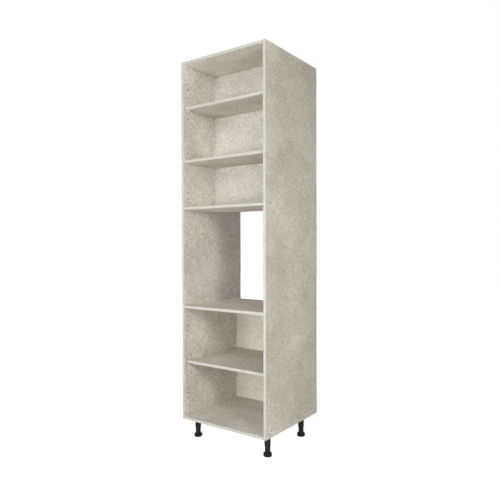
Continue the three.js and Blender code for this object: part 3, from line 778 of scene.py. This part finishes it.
STRIPS = {
    # node: (piece, body)
    "left_side_edging": ("edge_strip_left_side", "carcass"),
    "right_side_edging": ("edge_strip_right_side", "carcass"),
    "top_edging": ("edge_strip_top", "carcass"),
    "above_oven_edging": ("edge_strip_over_oven", "carcass"),
    "oven_deck_edging": ("edge_strip_oven_deck", "carcass"),
    "base_edging": ("edge_strip_base", "carcass"),
    "upper_shelf_high_edging": ("edge_strip_high_shelf", "high_shelf"),
    "upper_shelf_low_edging": ("edge_strip_low_shelf", "low_shelf"),
    "lower_shelf_edging": ("edge_strip_bottom_shelf", "bottom_shelf"),
}
for node, (piece_name, body) in STRIPS.items():
    low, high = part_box(node)
    strip = strip_mesh(low, high, "side" in node)
    fitted(piece_name, strip, body, "edging", node)

# ---------------------------------------------------------------- dowels
# Sixteen 8 by 35 mm beech dowels hold the fixed boards. They are turned and chamfered, and pressed
# with fine flutes that let the glue spread. All of them are hidden once the carcass is glued up.

DOWEL_RADIUS = 4 * MM
DOWEL_HALF = 17.5 * MM
DOWEL_CHAMFER = 1 * MM
DOWEL_FLUTES = 20
DOWEL_FLUTE_DEPTH = 0.3 * MM
DOWEL_CENTRE = 277.2 * MM
SIDES_PER_FLUTE = 4
FLUTED_SHARE = 0.8  # of the dowel's wall; the rest is land
FLUTED_SKIN = 0.1 * MM  # only the outer wall is drawn in, to this depth

# Beech has short dark flecks, a few millimetres long, on a straw ground. They run along the dowel.
BEECH_TONES = ("#a87e52", "#d3b184")
BEECH_STOPS = (0.35, 0.62)
FLECK_WIDTH = 0.7 * MM
FLECK_SQUEEZE = (0.12, 1.0, 1.0)

beech, _, shader, _ = two_toned(
    "beech_turned", FLECK_WIDTH, 3.0, BEECH_TONES, BEECH_STOPS, FLECK_SQUEEZE
)
shader.inputs["Roughness"].default_value = 0.68


def round_axis(tree):
    """For each place on a bar: its place across the bar, its height, and its angle in turns."""
    at = add_node(tree, "ShaderNodeSeparateXYZ", {0: add_node(tree, "GeometryNodeInputPosition")})
    flat = add_node(tree, "ShaderNodeCombineXYZ", {"X": at.outputs["X"], "Y": at.outputs["Y"]})
    angle = add_node(
        tree, "ShaderNodeMath", {0: at.outputs["Y"], 1: at.outputs["X"]}, operation="ARCTAN2"
    )
    turns = add_node(tree, "ShaderNodeMath", {0: angle, 1: math.tau}, operation="DIVIDE")
    return flat, at.outputs["Z"], turns


def moved_outwards(tree, geometry, flat, amount, chosen=True):
    """Moves the chosen places on a bar straight away from its axis, or inwards if negative."""
    outwards = add_node(tree, "ShaderNodeVectorMath", {0: flat}, operation="NORMALIZE")
    shift = add_node(
        tree, "ShaderNodeVectorMath", {0: outwards, "Scale": amount}, operation="SCALE"
    )
    return add_node(
        tree,
        "GeometryNodeSetPosition",
        {"Geometry": geometry, "Selection": chosen, "Offset": shift},
    )


def end_tree(tree, geometry, material):
    """Ends a tree: its instances become real geometry, which takes one material."""
    real = add_node(tree, "GeometryNodeRealizeInstances", {"Geometry": geometry})
    coated = add_node(tree, "GeometryNodeSetMaterial", {"Geometry": real, "Material": material})
    add_node(tree, "NodeGroupOutput", {"Geometry": coated})


# The tree that flutes a turned bar: it draws the wall in along equal channels round the Z axis.
# Each channel is a shallow parabola that takes a share of the pitch, and the rest is a plain land.
flute_tree, flute_in = new_tree(
    "fluted_bar",
    {
        "Flutes": "Int",
        "Flute Depth": "Float",
        "Channel Share": "Float",
        "Fluted Beyond": "Float",
        "Finish": "Material",
    },
)
tree = flute_tree
flat, _, share = round_axis(tree)
for operation, by in (
    ("MULTIPLY", flute_in["Flutes"]),
    ("FRACT", 0.0),
    ("DIVIDE", flute_in["Channel Share"]),
    ("MINIMUM", 1.0),
):
    share = add_node(tree, "ShaderNodeMath", {0: share, 1: by}, operation=operation)
rest = add_node(tree, "ShaderNodeMath", {0: 1.0, 1: share}, operation="SUBTRACT")
drawn = share
for by in (rest, 4.0, flute_in["Flute Depth"], -1.0):
    drawn = add_node(tree, "ShaderNodeMath", {0: drawn, 1: by}, operation="MULTIPLY")
reach = add_node(tree, "ShaderNodeVectorMath", {0: flat}, operation="LENGTH")
outer_wall = add_node(
    tree,
    "FunctionNodeCompare",
    {"A": reach.outputs["Value"], "B": flute_in["Fluted Beyond"]},
    operation="GREATER_THAN",
)
fluted = moved_outwards(tree, flute_in["Geometry"], flat, drawn, outer_wall)
end_tree(tree, fluted, flute_in["Finish"])

dowel_profile = [
    (0, -DOWEL_HALF),
    (DOWEL_RADIUS - DOWEL_CHAMFER, -DOWEL_HALF),
    (DOWEL_RADIUS, -DOWEL_HALF + DOWEL_CHAMFER),
    (DOWEL_RADIUS, DOWEL_HALF - DOWEL_CHAMFER),
    (DOWEL_RADIUS - DOWEL_CHAMFER, DOWEL_HALF),
    (0, DOWEL_HALF),
]
dowel_blank = turned_mesh(dowel_profile, DOWEL_FLUTES * SIDES_PER_FLUTE)
for node, (height, ends) in DOWEL_ROWS.items():
    for side, inward in (("left", 1), ("right", -1)):
        for end, y in ends.items():
            dowel = worked(
                dowel_blank.copy(),
                flute_tree,
                {
                    "Flutes": DOWEL_FLUTES,
                    "Flute Depth": DOWEL_FLUTE_DEPTH,
                    "Channel Share": FLUTED_SHARE,
                    "Fluted Beyond": DOWEL_RADIUS - FLUTED_SKIN,
                    "Finish": beech,
                },
            )
            dowel.transform(Matrix.Rotation(math.radians(90), 4, "Y"))
            dowel.transform(Matrix.Translation((-inward * DOWEL_CENTRE, y, height)))
            cad_name = f"{node}_dowel_{end}_{side}"
            fitted(f"fluted_{cad_name}", dowel, "carcass", "dowel_beech", cad_name)

# ---------------------------------------------------------------- shelf pins
# Twelve turned steel pins, zinc plated. The shank is pushed into a boring up to its thin collar,
# and the short stub that stays outside carries the shelf. They show as small bright dots.

PIN_RADIUS = 2.4 * MM
PIN_COLLAR_RADIUS = 3.3 * MM
PIN_COLLAR = 0.8 * MM
PIN_IN_WALL = 9.1 * MM
PIN_REACH = 10.5 * MM
PIN_CHAMFER = 0.6 * MM
PIN_DOME = 2.2 * MM  # the end of the stub is turned round, so it always shows one glint
PIN_DOME_STEPS = 8
PIN_SEAT = 283.9 * MM
SHELF_NODES = {
    # body: the CAD node of its shelf
    "high_shelf": "upper_shelf_high",
    "low_shelf": "upper_shelf_low",
    "bottom_shelf": "lower_shelf",
}
PIN_SIDES = 48
COLLAR_ARRIS = (0.15 * MM, 0.2 * MM)  # towards the wall, and towards the stub

# Zinc on a turned rod, painted a near-white colour that scatters about half of the light: pale zinc
# with a painted highlight, so a pin reads as a pale dot even in the shade of its shelf, and fine
# lathe rings soften the highlight of the rest.
ZINC_GLINT_TONES = ("#e3e4e3", "#f6f6f3")
ZINC_PATCH_SIZE = 2.5 * MM
RING_SPACING = 0.25 * MM
WAVE_UNIT = 0.314  # a wave texture of scale 1 repeats after this length

zinc, tree, shader, spots = two_toned("zinc_plated_steel_turned", ZINC_PATCH_SIZE, 2.0, ZINC_GLINT_TONES)
shader.inputs["Metallic"].default_value = 0.55
rings = add_node(
    tree,
    "ShaderNodeTexWave",
    {"Vector": spots, "Scale": WAVE_UNIT / RING_SPACING},
    wave_type="BANDS",
    bands_direction="X",
)
relief = add_node(
    tree, "ShaderNodeBump", {"Height": rings, "Strength": 0.2, "Distance": 0.02 * MM}
)
tree.links.new(relief.outputs[0], shader.inputs["Normal"])
shader.inputs["Roughness"].default_value = 0.32

pin_profile = [
    (0, -PIN_IN_WALL),
    (PIN_RADIUS - PIN_CHAMFER, -PIN_IN_WALL),
    (PIN_RADIUS, -PIN_IN_WALL + PIN_CHAMFER),
    (PIN_RADIUS, 0),
    (PIN_COLLAR_RADIUS - COLLAR_ARRIS[0], 0),
    (PIN_COLLAR_RADIUS, COLLAR_ARRIS[0]),
    (PIN_COLLAR_RADIUS, PIN_COLLAR - COLLAR_ARRIS[1]),
    (PIN_COLLAR_RADIUS - COLLAR_ARRIS[1], PIN_COLLAR),
    (PIN_RADIUS, PIN_COLLAR),
    (PIN_RADIUS, PIN_REACH - PIN_DOME),
]
for step in range(1, PIN_DOME_STEPS):
    angle = math.radians(90 * step / PIN_DOME_STEPS)
    pin_profile.append(
        (PIN_RADIUS * math.cos(angle), PIN_REACH - PIN_DOME + PIN_DOME * math.sin(angle))
    )
pin_profile.append((0, PIN_REACH))
for shelf, height in PIN_HEIGHTS.items():
    for side, inward in (("left", 1), ("right", -1)):
        for row, y in PIN_ROWS[shelf].items():
            pin = turned_mesh(pin_profile, PIN_SIDES)
            pin.transform(Matrix.Rotation(math.radians(90 * inward), 4, "Y"))
            pin.transform(Matrix.Translation((-inward * PIN_SEAT, y, height)))
            pin.materials.append(zinc)
            cad_name = f"{SHELF_NODES[shelf]}_pin_{row}_{side}"
            fitted(f"turned_{cad_name}", pin, "carcass", "pin_steel", cad_name)

# ---------------------------------------------------------------- adjustable shelves
# Three loose shelves of the same board. Their film has the same print painted a shade darker:
# painted shade that tones down the light on their tops. Each lies on its four pins, clear of the
# pins' collars, and slides out to the front. Their edging is made with the other strips.

SHELF_SHADED_TONES = ("#d0cbc2", "#b6b0a5", "#9c9589")

shelf_shaded_film = printed_film("stone_effect_shelf_shaded_film", SHELF_SHADED_TONES)

for body, node in SHELF_NODES.items():
    low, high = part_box(node)
    board = board_mesh(low, high, 2, (shelf_shaded_film, shelf_shaded_film))
    fitted(f"loose_{body}_board", board, body, "stone_effect_board", node)
bpy.data.objects.remove(boring_bit)

# ---------------------------------------------------------------- leg sockets
# Each leg hangs from a moulded socket: a square plate screwed under the base, with a round sleeve
# and four gussets. It is black polypropylene, moulded in one piece with slightly softened edges.

LEG_PLACES = {
    # place: (x, y, body of its foot)
    "front_left": (-252 * MM, -194 * MM, "front_left_foot"),
    "rear_left": (-252 * MM, 169 * MM, "rear_left_foot"),
    "front_right": (252 * MM, -194 * MM, "front_right_foot"),
    "rear_right": (252 * MM, 169 * MM, "rear_right_foot"),
}
PLATE_HALF = 34 * MM
PLATE_THICKNESS = 3.5 * MM
PLATE_ROUND = 10 * MM
PLATE_ROUND_STEPS = 8
PLATE_TOP = 119.9 * MM
SLEEVE_LENGTH = 63 * MM  # from the top of the plate to the mouth
SLEEVE_RADIUS = 17.5 * MM
SLEEVE_BORE = 15.8 * MM
SLEEVE_SIDES = 64
MOUTH_EASE = 0.5 * MM  # a cone at the sleeve's mouth leads the tube in
GUSSETS = 4
GUSSET_THICKNESS = 2.5 * MM
GUSSET_HEIGHT = 14 * MM
GUSSET_SHORT = 0.4 * MM  # a gusset ends this far inside the plate's edge
SCREW_OFFSET = 24 * MM
HOLE_RADIUS = 2.25 * MM
SINK_RADIUS = 4 * MM
SINK_DEPTH = 2 * MM
SINK_SIDES = 32
MOULD_ROUND = 0.35 * MM

# A spark-eroded mould leaves a fine matt grain of about 0.5 mm, drawn at 0.9 mm so that it shows.
# The black wanders a little where the melt flowed.
PLASTIC_TONES = ("#0d0d0e", "#171618")
MOULD_GRAIN_SIZE = 0.9 * MM
FLOW_SIZE = 22 * MM

black_plastic, tree, shader, spots = two_toned(
    "black_polypropylene_moulded", FLOW_SIZE, 2.0, PLASTIC_TONES
)
mould_grain = add_node(
    tree, "ShaderNodeTexNoise", {"Vector": spots, "Scale": 1 / MOULD_GRAIN_SIZE, "Detail": 3.0}
)
shader.inputs["IOR"].default_value = 1.49
shader.inputs["Specular IOR Level"].default_value = 0.3
gloss = add_node(
    tree,
    "ShaderNodeMapRange",
    {"Value": mould_grain, "From Min": 0.3, "From Max": 0.7, "To Min": 0.22, "To Max": 0.34},
)
tree.links.new(gloss.outputs[0], shader.inputs["Roughness"])
relief = add_node(
    tree, "ShaderNodeBump", {"Height": mould_grain, "Strength": 0.2, "Distance": 0.03 * MM}
)
tree.links.new(relief.outputs[0], shader.inputs["Normal"])


def plate_mesh():
    """The square plate with rounded corners, from z = 0 down."""
    outline = []
    inset = PLATE_HALF - PLATE_ROUND
    for quarter, (cx, cy) in enumerate(((1, 1), (-1, 1), (-1, -1), (1, -1))):
        for step in range(PLATE_ROUND_STEPS + 1):
            angle = math.radians(90 * (quarter + step / PLATE_ROUND_STEPS))
            x = cx * inset + PLATE_ROUND * math.cos(angle)
            y = cy * inset + PLATE_ROUND * math.sin(angle)
            outline.append((x, y))
    return bar_mesh(*([(x, y, z) for x, y in outline] for z in (-PLATE_THICKNESS, 0.0)))


def gusset_mesh():
    """One three-sided gusset, on the +X side of the sleeve."""
    inner = (SLEEVE_RADIUS + SLEEVE_BORE) / 2
    foot_of_rib = -PLATE_THICKNESS - GUSSET_HEIGHT
    side = [
        (inner, -PLATE_THICKNESS / 2),
        (inner, foot_of_rib),
        (SLEEVE_RADIUS, foot_of_rib),
        (PLATE_HALF - GUSSET_SHORT, -PLATE_THICKNESS - GUSSET_SHORT),
        (PLATE_HALF - GUSSET_SHORT, -PLATE_THICKNESS / 2),
    ]
    half = GUSSET_THICKNESS / 2
    return bar_mesh(*([(x, y, z) for x, z in side] for y in (-half, half)))


def at_plate_corners(tree, thing, offset, **turned):
    """Sets one of a thing at each corner of the square on which a plate's screws stand."""
    span = add_node(tree, "ShaderNodeMath", {0: offset, 1: 2.0}, operation="MULTIPLY")
    corners = add_node(
        tree,
        "GeometryNodeMeshGrid",
        {"Size X": span, "Size Y": span, "Vertices X": 2, "Vertices Y": 2},
    )
    return add_node(
        tree,
        "GeometryNodeInstanceOnPoints",
        {"Points": corners.outputs["Mesh"], "Instance": thing.outputs["Geometry"], **turned},
    )


# The tree that joins a socket: gussets stand round the sleeve, and the bore and the countersunk
# holes are cut through what was joined.
socket_tree, socket_in = new_tree(
    "leg_socket",
    {
        "Sleeve": "Object",
        "Gusset": "Object",
        "Gussets": "Int",
        "Bore": "Object",
        "Sink": "Object",
        "Hole Offset": "Float",
        "Finish": "Material",
    },
)
tree = socket_tree
sleeve, gusset, bore, sink = (
    add_node(tree, "GeometryNodeObjectInfo", {"Object": socket_in[shape]})
    for shape in ("Sleeve", "Gusset", "Bore", "Sink")
)
spokes = add_node(
    tree, "GeometryNodePoints", {"Count": socket_in["Gussets"], "Position": (0.0, 0.0, 0.0)}
)
spoke = add_node(tree, "GeometryNodeInputIndex")
spoke = add_node(tree, "ShaderNodeMath", {0: spoke, 1: socket_in["Gussets"]}, operation="DIVIDE")
spoke = add_node(tree, "ShaderNodeMath", {0: spoke, 1: math.tau}, operation="MULTIPLY")
spoke = add_node(tree, "ShaderNodeCombineXYZ", {"Z": spoke})
gussets = add_node(
    tree,
    "GeometryNodeInstanceOnPoints",
    {"Points": spokes, "Instance": gusset.outputs["Geometry"], "Rotation": spoke},
)
gussets = add_node(tree, "GeometryNodeRealizeInstances", {"Geometry": gussets})
joined = add_node(tree, "GeometryNodeMeshBoolean", operation="UNION", solver="EXACT")
for part in (socket_in["Geometry"], sleeve.outputs["Geometry"], gussets.outputs[0]):
    tree.links.new(part, joined.inputs["Mesh 2"])
holes = at_plate_corners(tree, sink, socket_in["Hole Offset"])
holes = add_node(tree, "GeometryNodeRealizeInstances", {"Geometry": holes})
opened = add_node(
    tree,
    "GeometryNodeMeshBoolean",
    {"Mesh 1": joined.outputs["Mesh"]},
    operation="DIFFERENCE",
    solver="EXACT",
)
tree.links.new(bore.outputs["Geometry"], opened.inputs["Mesh 2"])
tree.links.new(holes.outputs[0], opened.inputs["Mesh 2"])
end_tree(tree, opened.outputs["Mesh"], socket_in["Finish"])

sleeve_profile = [
    (0, -SLEEVE_LENGTH),
    (SLEEVE_RADIUS - MOULD_ROUND, -SLEEVE_LENGTH),
    (SLEEVE_RADIUS, -SLEEVE_LENGTH + MOULD_ROUND),
    (SLEEVE_RADIUS, -PLATE_THICKNESS / 2),
    (0, -PLATE_THICKNESS / 2),
]
bore_profile = [
    (0, -SLEEVE_LENGTH - OVERCUT),
    (SLEEVE_BORE + MOUTH_EASE, -SLEEVE_LENGTH - OVERCUT),
    (SLEEVE_BORE, -SLEEVE_LENGTH + MOUTH_EASE),
    (SLEEVE_BORE, -PLATE_THICKNESS),
    (0, -PLATE_THICKNESS),
]
sink_profile = [
    (0, -PLATE_THICKNESS - OVERCUT),
    (SINK_RADIUS + OVERCUT, -PLATE_THICKNESS - OVERCUT),
    (SINK_RADIUS, -PLATE_THICKNESS),
    (HOLE_RADIUS, -PLATE_THICKNESS + SINK_DEPTH),
    (HOLE_RADIUS, OVERCUT),
    (0, OVERCUT),
]
socket_shapes = {
    "Sleeve": cutter_object("sleeve_blank", turned_mesh(sleeve_profile, SLEEVE_SIDES)),
    "Bore": cutter_object("bore_cutter", turned_mesh(bore_profile, SLEEVE_SIDES)),
    "Sink": cutter_object("sink_cutter", turned_mesh(sink_profile, SINK_SIDES)),
    "Gusset": cutter_object("gusset_blank", gusset_mesh()),
}
socket_settings = {"Gussets": GUSSETS, "Hole Offset": SCREW_OFFSET, "Finish": black_plastic}
socket_mesh = worked(plate_mesh(), socket_tree, {**socket_shapes, **socket_settings})
for shape in socket_shapes.values():
    bpy.data.objects.remove(shape)
for place, (x, y, _) in LEG_PLACES.items():
    socket = socket_mesh.copy()
    socket.transform(Matrix.Translation((x, y, PLATE_TOP)))
    fitted(f"moulded_socket_{place}", socket, "carcass", "leg_plastic", f"leg_socket_{place}")

# ---------------------------------------------------------------- plate screws
# Four countersunk chipboard screws, 4 by 16 mm, go up through each plate into the base. Only their
# cross-slotted heads show, in the countersinks; the threads are in the board.

HEAD_RADIUS = 3.8 * MM
HEAD_DEPTH = 1.8 * MM
SCREW_LENGTH = 16 * MM
SCREW_CORE = 1.3 * MM
SCREW_THREAD = 0.6 * MM
SCREW_PITCH = 1.8 * MM
SLOT_REACH = 2.1 * MM
SLOT_WIDTH = 0.75 * MM
SLOT_DEPTH = 1.4 * MM
HEAD_LEVEL = 116.45 * MM
HEAD_ARRIS = 0.2 * MM
THREAD_BARE = 1 * MM  # the shank is smooth this far above the head
SCREW_POINT = 2.5 * MM
SCREW_SIDES = 20
SHANK_RINGS = 48
FIRST_SEED = 11

# Yellow passivated zinc has a faint brassy tint that wanders over a head.
SCREW_TONES = ("#b39a5e", "#d9cfa8")
TINT_SIZE = 3 * MM

screw_steel, _, shader, _ = two_toned("yellow_zinc_steel_screw", TINT_SIZE, 2.0, SCREW_TONES)
shader.inputs["Metallic"].default_value = 1.0
shader.inputs["Roughness"].default_value = 0.32

# The tree that threads a bar: it pushes the wall out along a helix with a sharp crest, fading at
# both ends. The flank rises between these distances from the root line, as shares of the pitch.
THREAD_ROOT = 0.12
THREAD_CREST = 0.42

thread_tree, thread_in = new_tree(
    "threaded_bar",
    {
        "Pitch": "Float",
        "Thread Height": "Float",
        "Start": "Float",
        "End": "Float",
        "Finish": "Material",
    },
)
tree = thread_tree
flat, height, turns = round_axis(tree)
pitch = thread_in["Pitch"]
climb = add_node(tree, "ShaderNodeMath", {0: height, 1: pitch}, operation="DIVIDE")
phase = add_node(tree, "ShaderNodeMath", {0: climb, 1: turns}, operation="SUBTRACT")
crest = add_node(tree, "ShaderNodeMath", {0: phase, 1: 0.5}, operation="PINGPONG")
crest = add_node(
    tree,
    "ShaderNodeMapRange",
    {"Value": crest, "From Min": THREAD_ROOT, "From Max": THREAD_CREST},
)
above, below = (
    add_node(tree, "ShaderNodeMath", {0: upper, 1: lower}, operation="SUBTRACT")
    for upper, lower in ((height, thread_in["Start"]), (thread_in["End"], height))
)
fade = add_node(tree, "ShaderNodeMath", {0: above, 1: below}, operation="MINIMUM")
fade = add_node(tree, "ShaderNodeMath", {0: fade, 1: pitch}, operation="DIVIDE")
fade = add_node(tree, "ShaderNodeClamp", {"Value": fade})
lift = crest
for by in (fade, thread_in["Thread Height"]):
    lift = add_node(tree, "ShaderNodeMath", {0: lift, 1: by}, operation="MULTIPLY")
end_tree(tree, moved_outwards(tree, thread_in["Geometry"], flat, lift), thread_in["Finish"])

# The tree that sets the screws: one at each corner of a square, each turned by a random amount.
screw_tree, screw_in = new_tree(
    "plate_screws",
    {"Screw": "Object", "Hole Offset": "Float", "Seed": "Int", "Finish": "Material"},
)
tree = screw_tree
spin = add_node(
    tree,
    "FunctionNodeRandomValue",
    {"Min": (0.0, 0.0, 0.0), "Max": (0.0, 0.0, math.tau), "Seed": screw_in["Seed"]},
    data_type="FLOAT_VECTOR",
)
one_screw = add_node(tree, "GeometryNodeObjectInfo", {"Object": screw_in["Screw"]})
screws = at_plate_corners(tree, one_screw, screw_in["Hole Offset"], Rotation=spin)
end_tree(tree, screws, screw_in["Finish"])


def screw_mesh():
    """One screw, head down at z = 0, with a threaded shank above it."""
    shank_top = SCREW_LENGTH - SCREW_POINT
    profile = [(0, 0), (HEAD_RADIUS - HEAD_ARRIS, 0), (HEAD_RADIUS, HEAD_ARRIS)]
    for ring in range(SHANK_RINGS + 1):
        height = HEAD_DEPTH + (shank_top - HEAD_DEPTH) * ring / SHANK_RINGS
        profile.append((SCREW_CORE, height))
    profile.append((0, SCREW_LENGTH))
    threads = {
        "Pitch": SCREW_PITCH,
        "Thread Height": SCREW_THREAD,
        "Start": HEAD_DEPTH + THREAD_BARE,
        "End": shank_top,
        "Finish": screw_steel,
    }
    bar = worked(turned_mesh(profile, SCREW_SIDES), thread_tree, threads)
    piece = cutter_object("screw_blank", bar)
    for x, y in ((SLOT_REACH, SLOT_WIDTH / 2), (SLOT_WIDTH / 2, SLOT_REACH)):
        slot = block_mesh((-x, -y, -OVERCUT), (x, y, SLOT_DEPTH))
        tool = cutter_object("slot_cutter", slot)
        cut = piece.modifiers.new("slot", "BOOLEAN")
        cut.object = tool
        cut.operation = "DIFFERENCE"
        cut.solver = "EXACT"
        seen_by = bpy.context.evaluated_depsgraph_get()
        result = bpy.data.meshes.new_from_object(piece.evaluated_get(seen_by), depsgraph=seen_by)
        piece.modifiers.clear()
        piece.data = result
        bpy.data.objects.remove(tool)
    bpy.data.objects.remove(piece)
    return result


screw_object = cutter_object("screw", screw_mesh())
for seed, (place, (x, y, _)) in enumerate(LEG_PLACES.items()):
    screws = worked(
        bpy.data.meshes.new("no_screws"),
        screw_tree,
        {
            "Screw": screw_object,
            "Hole Offset": SCREW_OFFSET,
            "Seed": FIRST_SEED + seed,
            "Finish": screw_steel,
        },
    )
    screws.transform(Matrix.Translation((x, y, HEAD_LEVEL)))
    fitted(f"plate_screws_{place}", screws, "carcass", "pin_steel")
bpy.data.objects.remove(screw_object)

# ---------------------------------------------------------------- leg tubes
# A black polypropylene tube stands in each sleeve. Its wall has twelve shallow flutes, so that it
# grips the sleeve and shows as fine upright lines, and its screw bore takes the foot.

TUBE_RADIUS = 15.5 * MM
TUBE_BORE = 10.7 * MM
TUBE_BOTTOM = 22.3 * MM
TUBE_TOP = 116.2 * MM
TUBE_FLUTES = 12
TUBE_FLUTE_DEPTH = 0.9 * MM
TUBE_CHANNEL_SHARE = 0.62
TUBE_SIDES_PER_FLUTE = 16
TUBE_EASE = 0.5 * MM
TUBE_CREASE = 24  # degrees, so that the flutes keep crisp edges

tube_length = TUBE_TOP - TUBE_BOTTOM
tube_profile = [
    (TUBE_BORE + TUBE_EASE, 0),
    (TUBE_RADIUS - TUBE_EASE, 0),
    (TUBE_RADIUS, TUBE_EASE),
    (TUBE_RADIUS, tube_length - TUBE_EASE),
    (TUBE_RADIUS - TUBE_EASE, tube_length),
    (TUBE_BORE + TUBE_EASE, tube_length),
    (TUBE_BORE, tube_length - TUBE_EASE),
    (TUBE_BORE, TUBE_EASE),
]
for place, (x, y, _) in LEG_PLACES.items():
    tube = worked(
        turned_mesh(tube_profile, TUBE_FLUTES * TUBE_SIDES_PER_FLUTE, closed=True),
        flute_tree,
        {
            "Flutes": TUBE_FLUTES,
            "Flute Depth": TUBE_FLUTE_DEPTH,
            "Channel Share": TUBE_CHANNEL_SHARE,
            "Fluted Beyond": (TUBE_RADIUS + TUBE_BORE) / 2,
            "Finish": black_plastic,
        },
    )
    tube.transform(Matrix.Translation((x, y, TUBE_BOTTOM)))
    piece_name = f"fluted_tube_{place}"
    cad_name = f"leg_tube_{place}"
    fitted(piece_name, tube, "carcass", "leg_plastic", cad_name, crease=TUBE_CREASE)

# ---------------------------------------------------------------- feet
# Each foot is a moulded black knob with eight finger scallops, on a coarse screw that turns up into
# the tube. Turning it levels the unit. It rides on its own body and runs down 30 mm.

FOOT_RADIUS = 24 * MM
SOLE_BEVEL = 3 * MM
RIM_TOP = 17 * MM
FOOT_TOP = 22 * MM
LEDGE_RADIUS = 17.5 * MM
SCALLOPS = 8
SCALLOP_RADIUS = 4.5 * MM
SCALLOP_DEPTH = 1.6 * MM
STEM_CREST = 10 * MM
STEM_THREAD = 1.1 * MM
STEM_PITCH = 4 * MM
STEM_TOP = 86 * MM
STEM_EASE = 1.5 * MM
STEM_ROOT = 20 * MM  # the stem is moulded into the foot from here up
RINGS_PER_PITCH = 10
STEM_SIDES = 48
SIDES_PER_SCALLOP = 24
FOOT_CREASE = 28  # degrees
# Where the knob's rings lie: round the sole's edge, up the rim, and in over the shoulder
SOLE_RINGS = (0.2, 0.4, 0.6, 0.8, 1.0)
RIM_RINGS = (0.25, 0.5, 0.75, 0.93, 1.0)
SHOULDER_RINGS = (0.1, 0.3, 0.5, 0.7, 0.9, 1.0)

# The tree that scallops a knob: it draws the rim in to eight round hollows, each a circle whose
# centre lies just outside the rim, and leaves what is already inside them.
scallop_tree, scallop_in = new_tree(
    "scalloped_knob",
    {
        "Scallops": "Int",
        "Rim Radius": "Float",
        "Scallop Radius": "Float",
        "Scallop Depth": "Float",
        "Finish": "Material",
    },
)
tree = scallop_tree
flat, _, off_angle = round_axis(tree)
for operation, by in (
    ("MULTIPLY", scallop_in["Scallops"]),
    ("FRACT", 0.0),
    ("SUBTRACT", 0.5),
    ("MULTIPLY", math.tau),
    ("DIVIDE", scallop_in["Scallops"]),
):
    off_angle = add_node(tree, "ShaderNodeMath", {0: off_angle, 1: by}, operation=operation)
hollow_radius = scallop_in["Scallop Radius"]
centre = scallop_in["Rim Radius"]
for operation, by in (("ADD", hollow_radius), ("SUBTRACT", scallop_in["Scallop Depth"])):
    centre = add_node(tree, "ShaderNodeMath", {0: centre, 1: by}, operation=operation)
along, aside = (
    add_node(tree, "ShaderNodeMath", {0: off_angle}, operation=part) for part in ("COSINE", "SINE")
)
along = add_node(tree, "ShaderNodeMath", {0: along, 1: centre}, operation="MULTIPLY")
aside = add_node(tree, "ShaderNodeMath", {0: aside, 1: centre}, operation="MULTIPLY")
aside_squared, radius_squared = (
    add_node(tree, "ShaderNodeMath", {0: length, 1: length}, operation="MULTIPLY")
    for length in (aside, hollow_radius)
)
inside = add_node(
    tree, "ShaderNodeMath", {0: radius_squared, 1: aside_squared}, operation="SUBTRACT"
)
half_chord = add_node(tree, "ShaderNodeMath", {0: inside, 1: 0.0}, operation="MAXIMUM")
half_chord = add_node(tree, "ShaderNodeMath", {0: half_chord}, operation="SQRT")
reach = add_node(tree, "ShaderNodeVectorMath", {0: flat}, operation="LENGTH")
draw = along
for operation, by in (
    ("SUBTRACT", half_chord),
    ("SUBTRACT", reach.outputs["Value"]),
    ("MINIMUM", 0.0),
):
    draw = add_node(tree, "ShaderNodeMath", {0: draw, 1: by}, operation=operation)
hollow = add_node(tree, "FunctionNodeCompare", {"A": inside, "B": 0.0}, operation="GREATER_THAN")
scalloped = moved_outwards(tree, scallop_in["Geometry"], flat, draw, hollow)
end_tree(tree, scalloped, scallop_in["Finish"])

knob_profile = [(0, 0), (FOOT_RADIUS - SOLE_BEVEL, 0)]
for share in SOLE_RINGS:
    angle = math.radians(90 * share)
    radius = FOOT_RADIUS - SOLE_BEVEL + SOLE_BEVEL * math.sin(angle)
    knob_profile.append((radius, SOLE_BEVEL - SOLE_BEVEL * math.cos(angle)))
for share in RIM_RINGS:
    knob_profile.append((FOOT_RADIUS, SOLE_BEVEL + (RIM_TOP - SOLE_BEVEL) * share))
for share in SHOULDER_RINGS:
    radius = FOOT_RADIUS + (LEDGE_RADIUS - FOOT_RADIUS) * share
    knob_profile.append((radius, RIM_TOP + (FOOT_TOP - RIM_TOP) * share))
knob_profile += [(STEM_CREST, FOOT_TOP), (0, FOOT_TOP)]

stem_core = STEM_CREST - STEM_THREAD
stem_length = STEM_TOP - STEM_EASE - STEM_ROOT
thread_rings = round(stem_length / STEM_PITCH * RINGS_PER_PITCH)
stem_profile = [(0, STEM_ROOT)]
for ring in range(thread_rings + 1):
    stem_profile.append((stem_core, STEM_ROOT + stem_length * ring / thread_rings))
stem_profile += [(stem_core - STEM_EASE, STEM_TOP), (0, STEM_TOP)]

for place, (x, y, body) in LEG_PLACES.items():
    knob = worked(
        turned_mesh(knob_profile, SCALLOPS * SIDES_PER_SCALLOP),
        scallop_tree,
        {
            "Scallops": SCALLOPS,
            "Rim Radius": FOOT_RADIUS,
            "Scallop Radius": SCALLOP_RADIUS,
            "Scallop Depth": SCALLOP_DEPTH,
            "Finish": black_plastic,
        },
    )
    stem = worked(
        turned_mesh(stem_profile, STEM_SIDES),
        thread_tree,
        {
            "Pitch": STEM_PITCH,
            "Thread Height": STEM_THREAD,
            "Start": FOOT_TOP,
            "End": STEM_TOP - STEM_EASE,
            "Finish": black_plastic,
        },
    )
    shape = bmesh.new()
    shape.from_mesh(knob)
    shape.from_mesh(stem)
    shape.to_mesh(knob)
    shape.free()
    knob.transform(Matrix.Translation((x, y, 0)))
    piece_name = f"scalloped_foot_{place}"
    fitted(piece_name, knob, body, "leg_plastic", f"foot_{place}", crease=FOOT_CREASE)
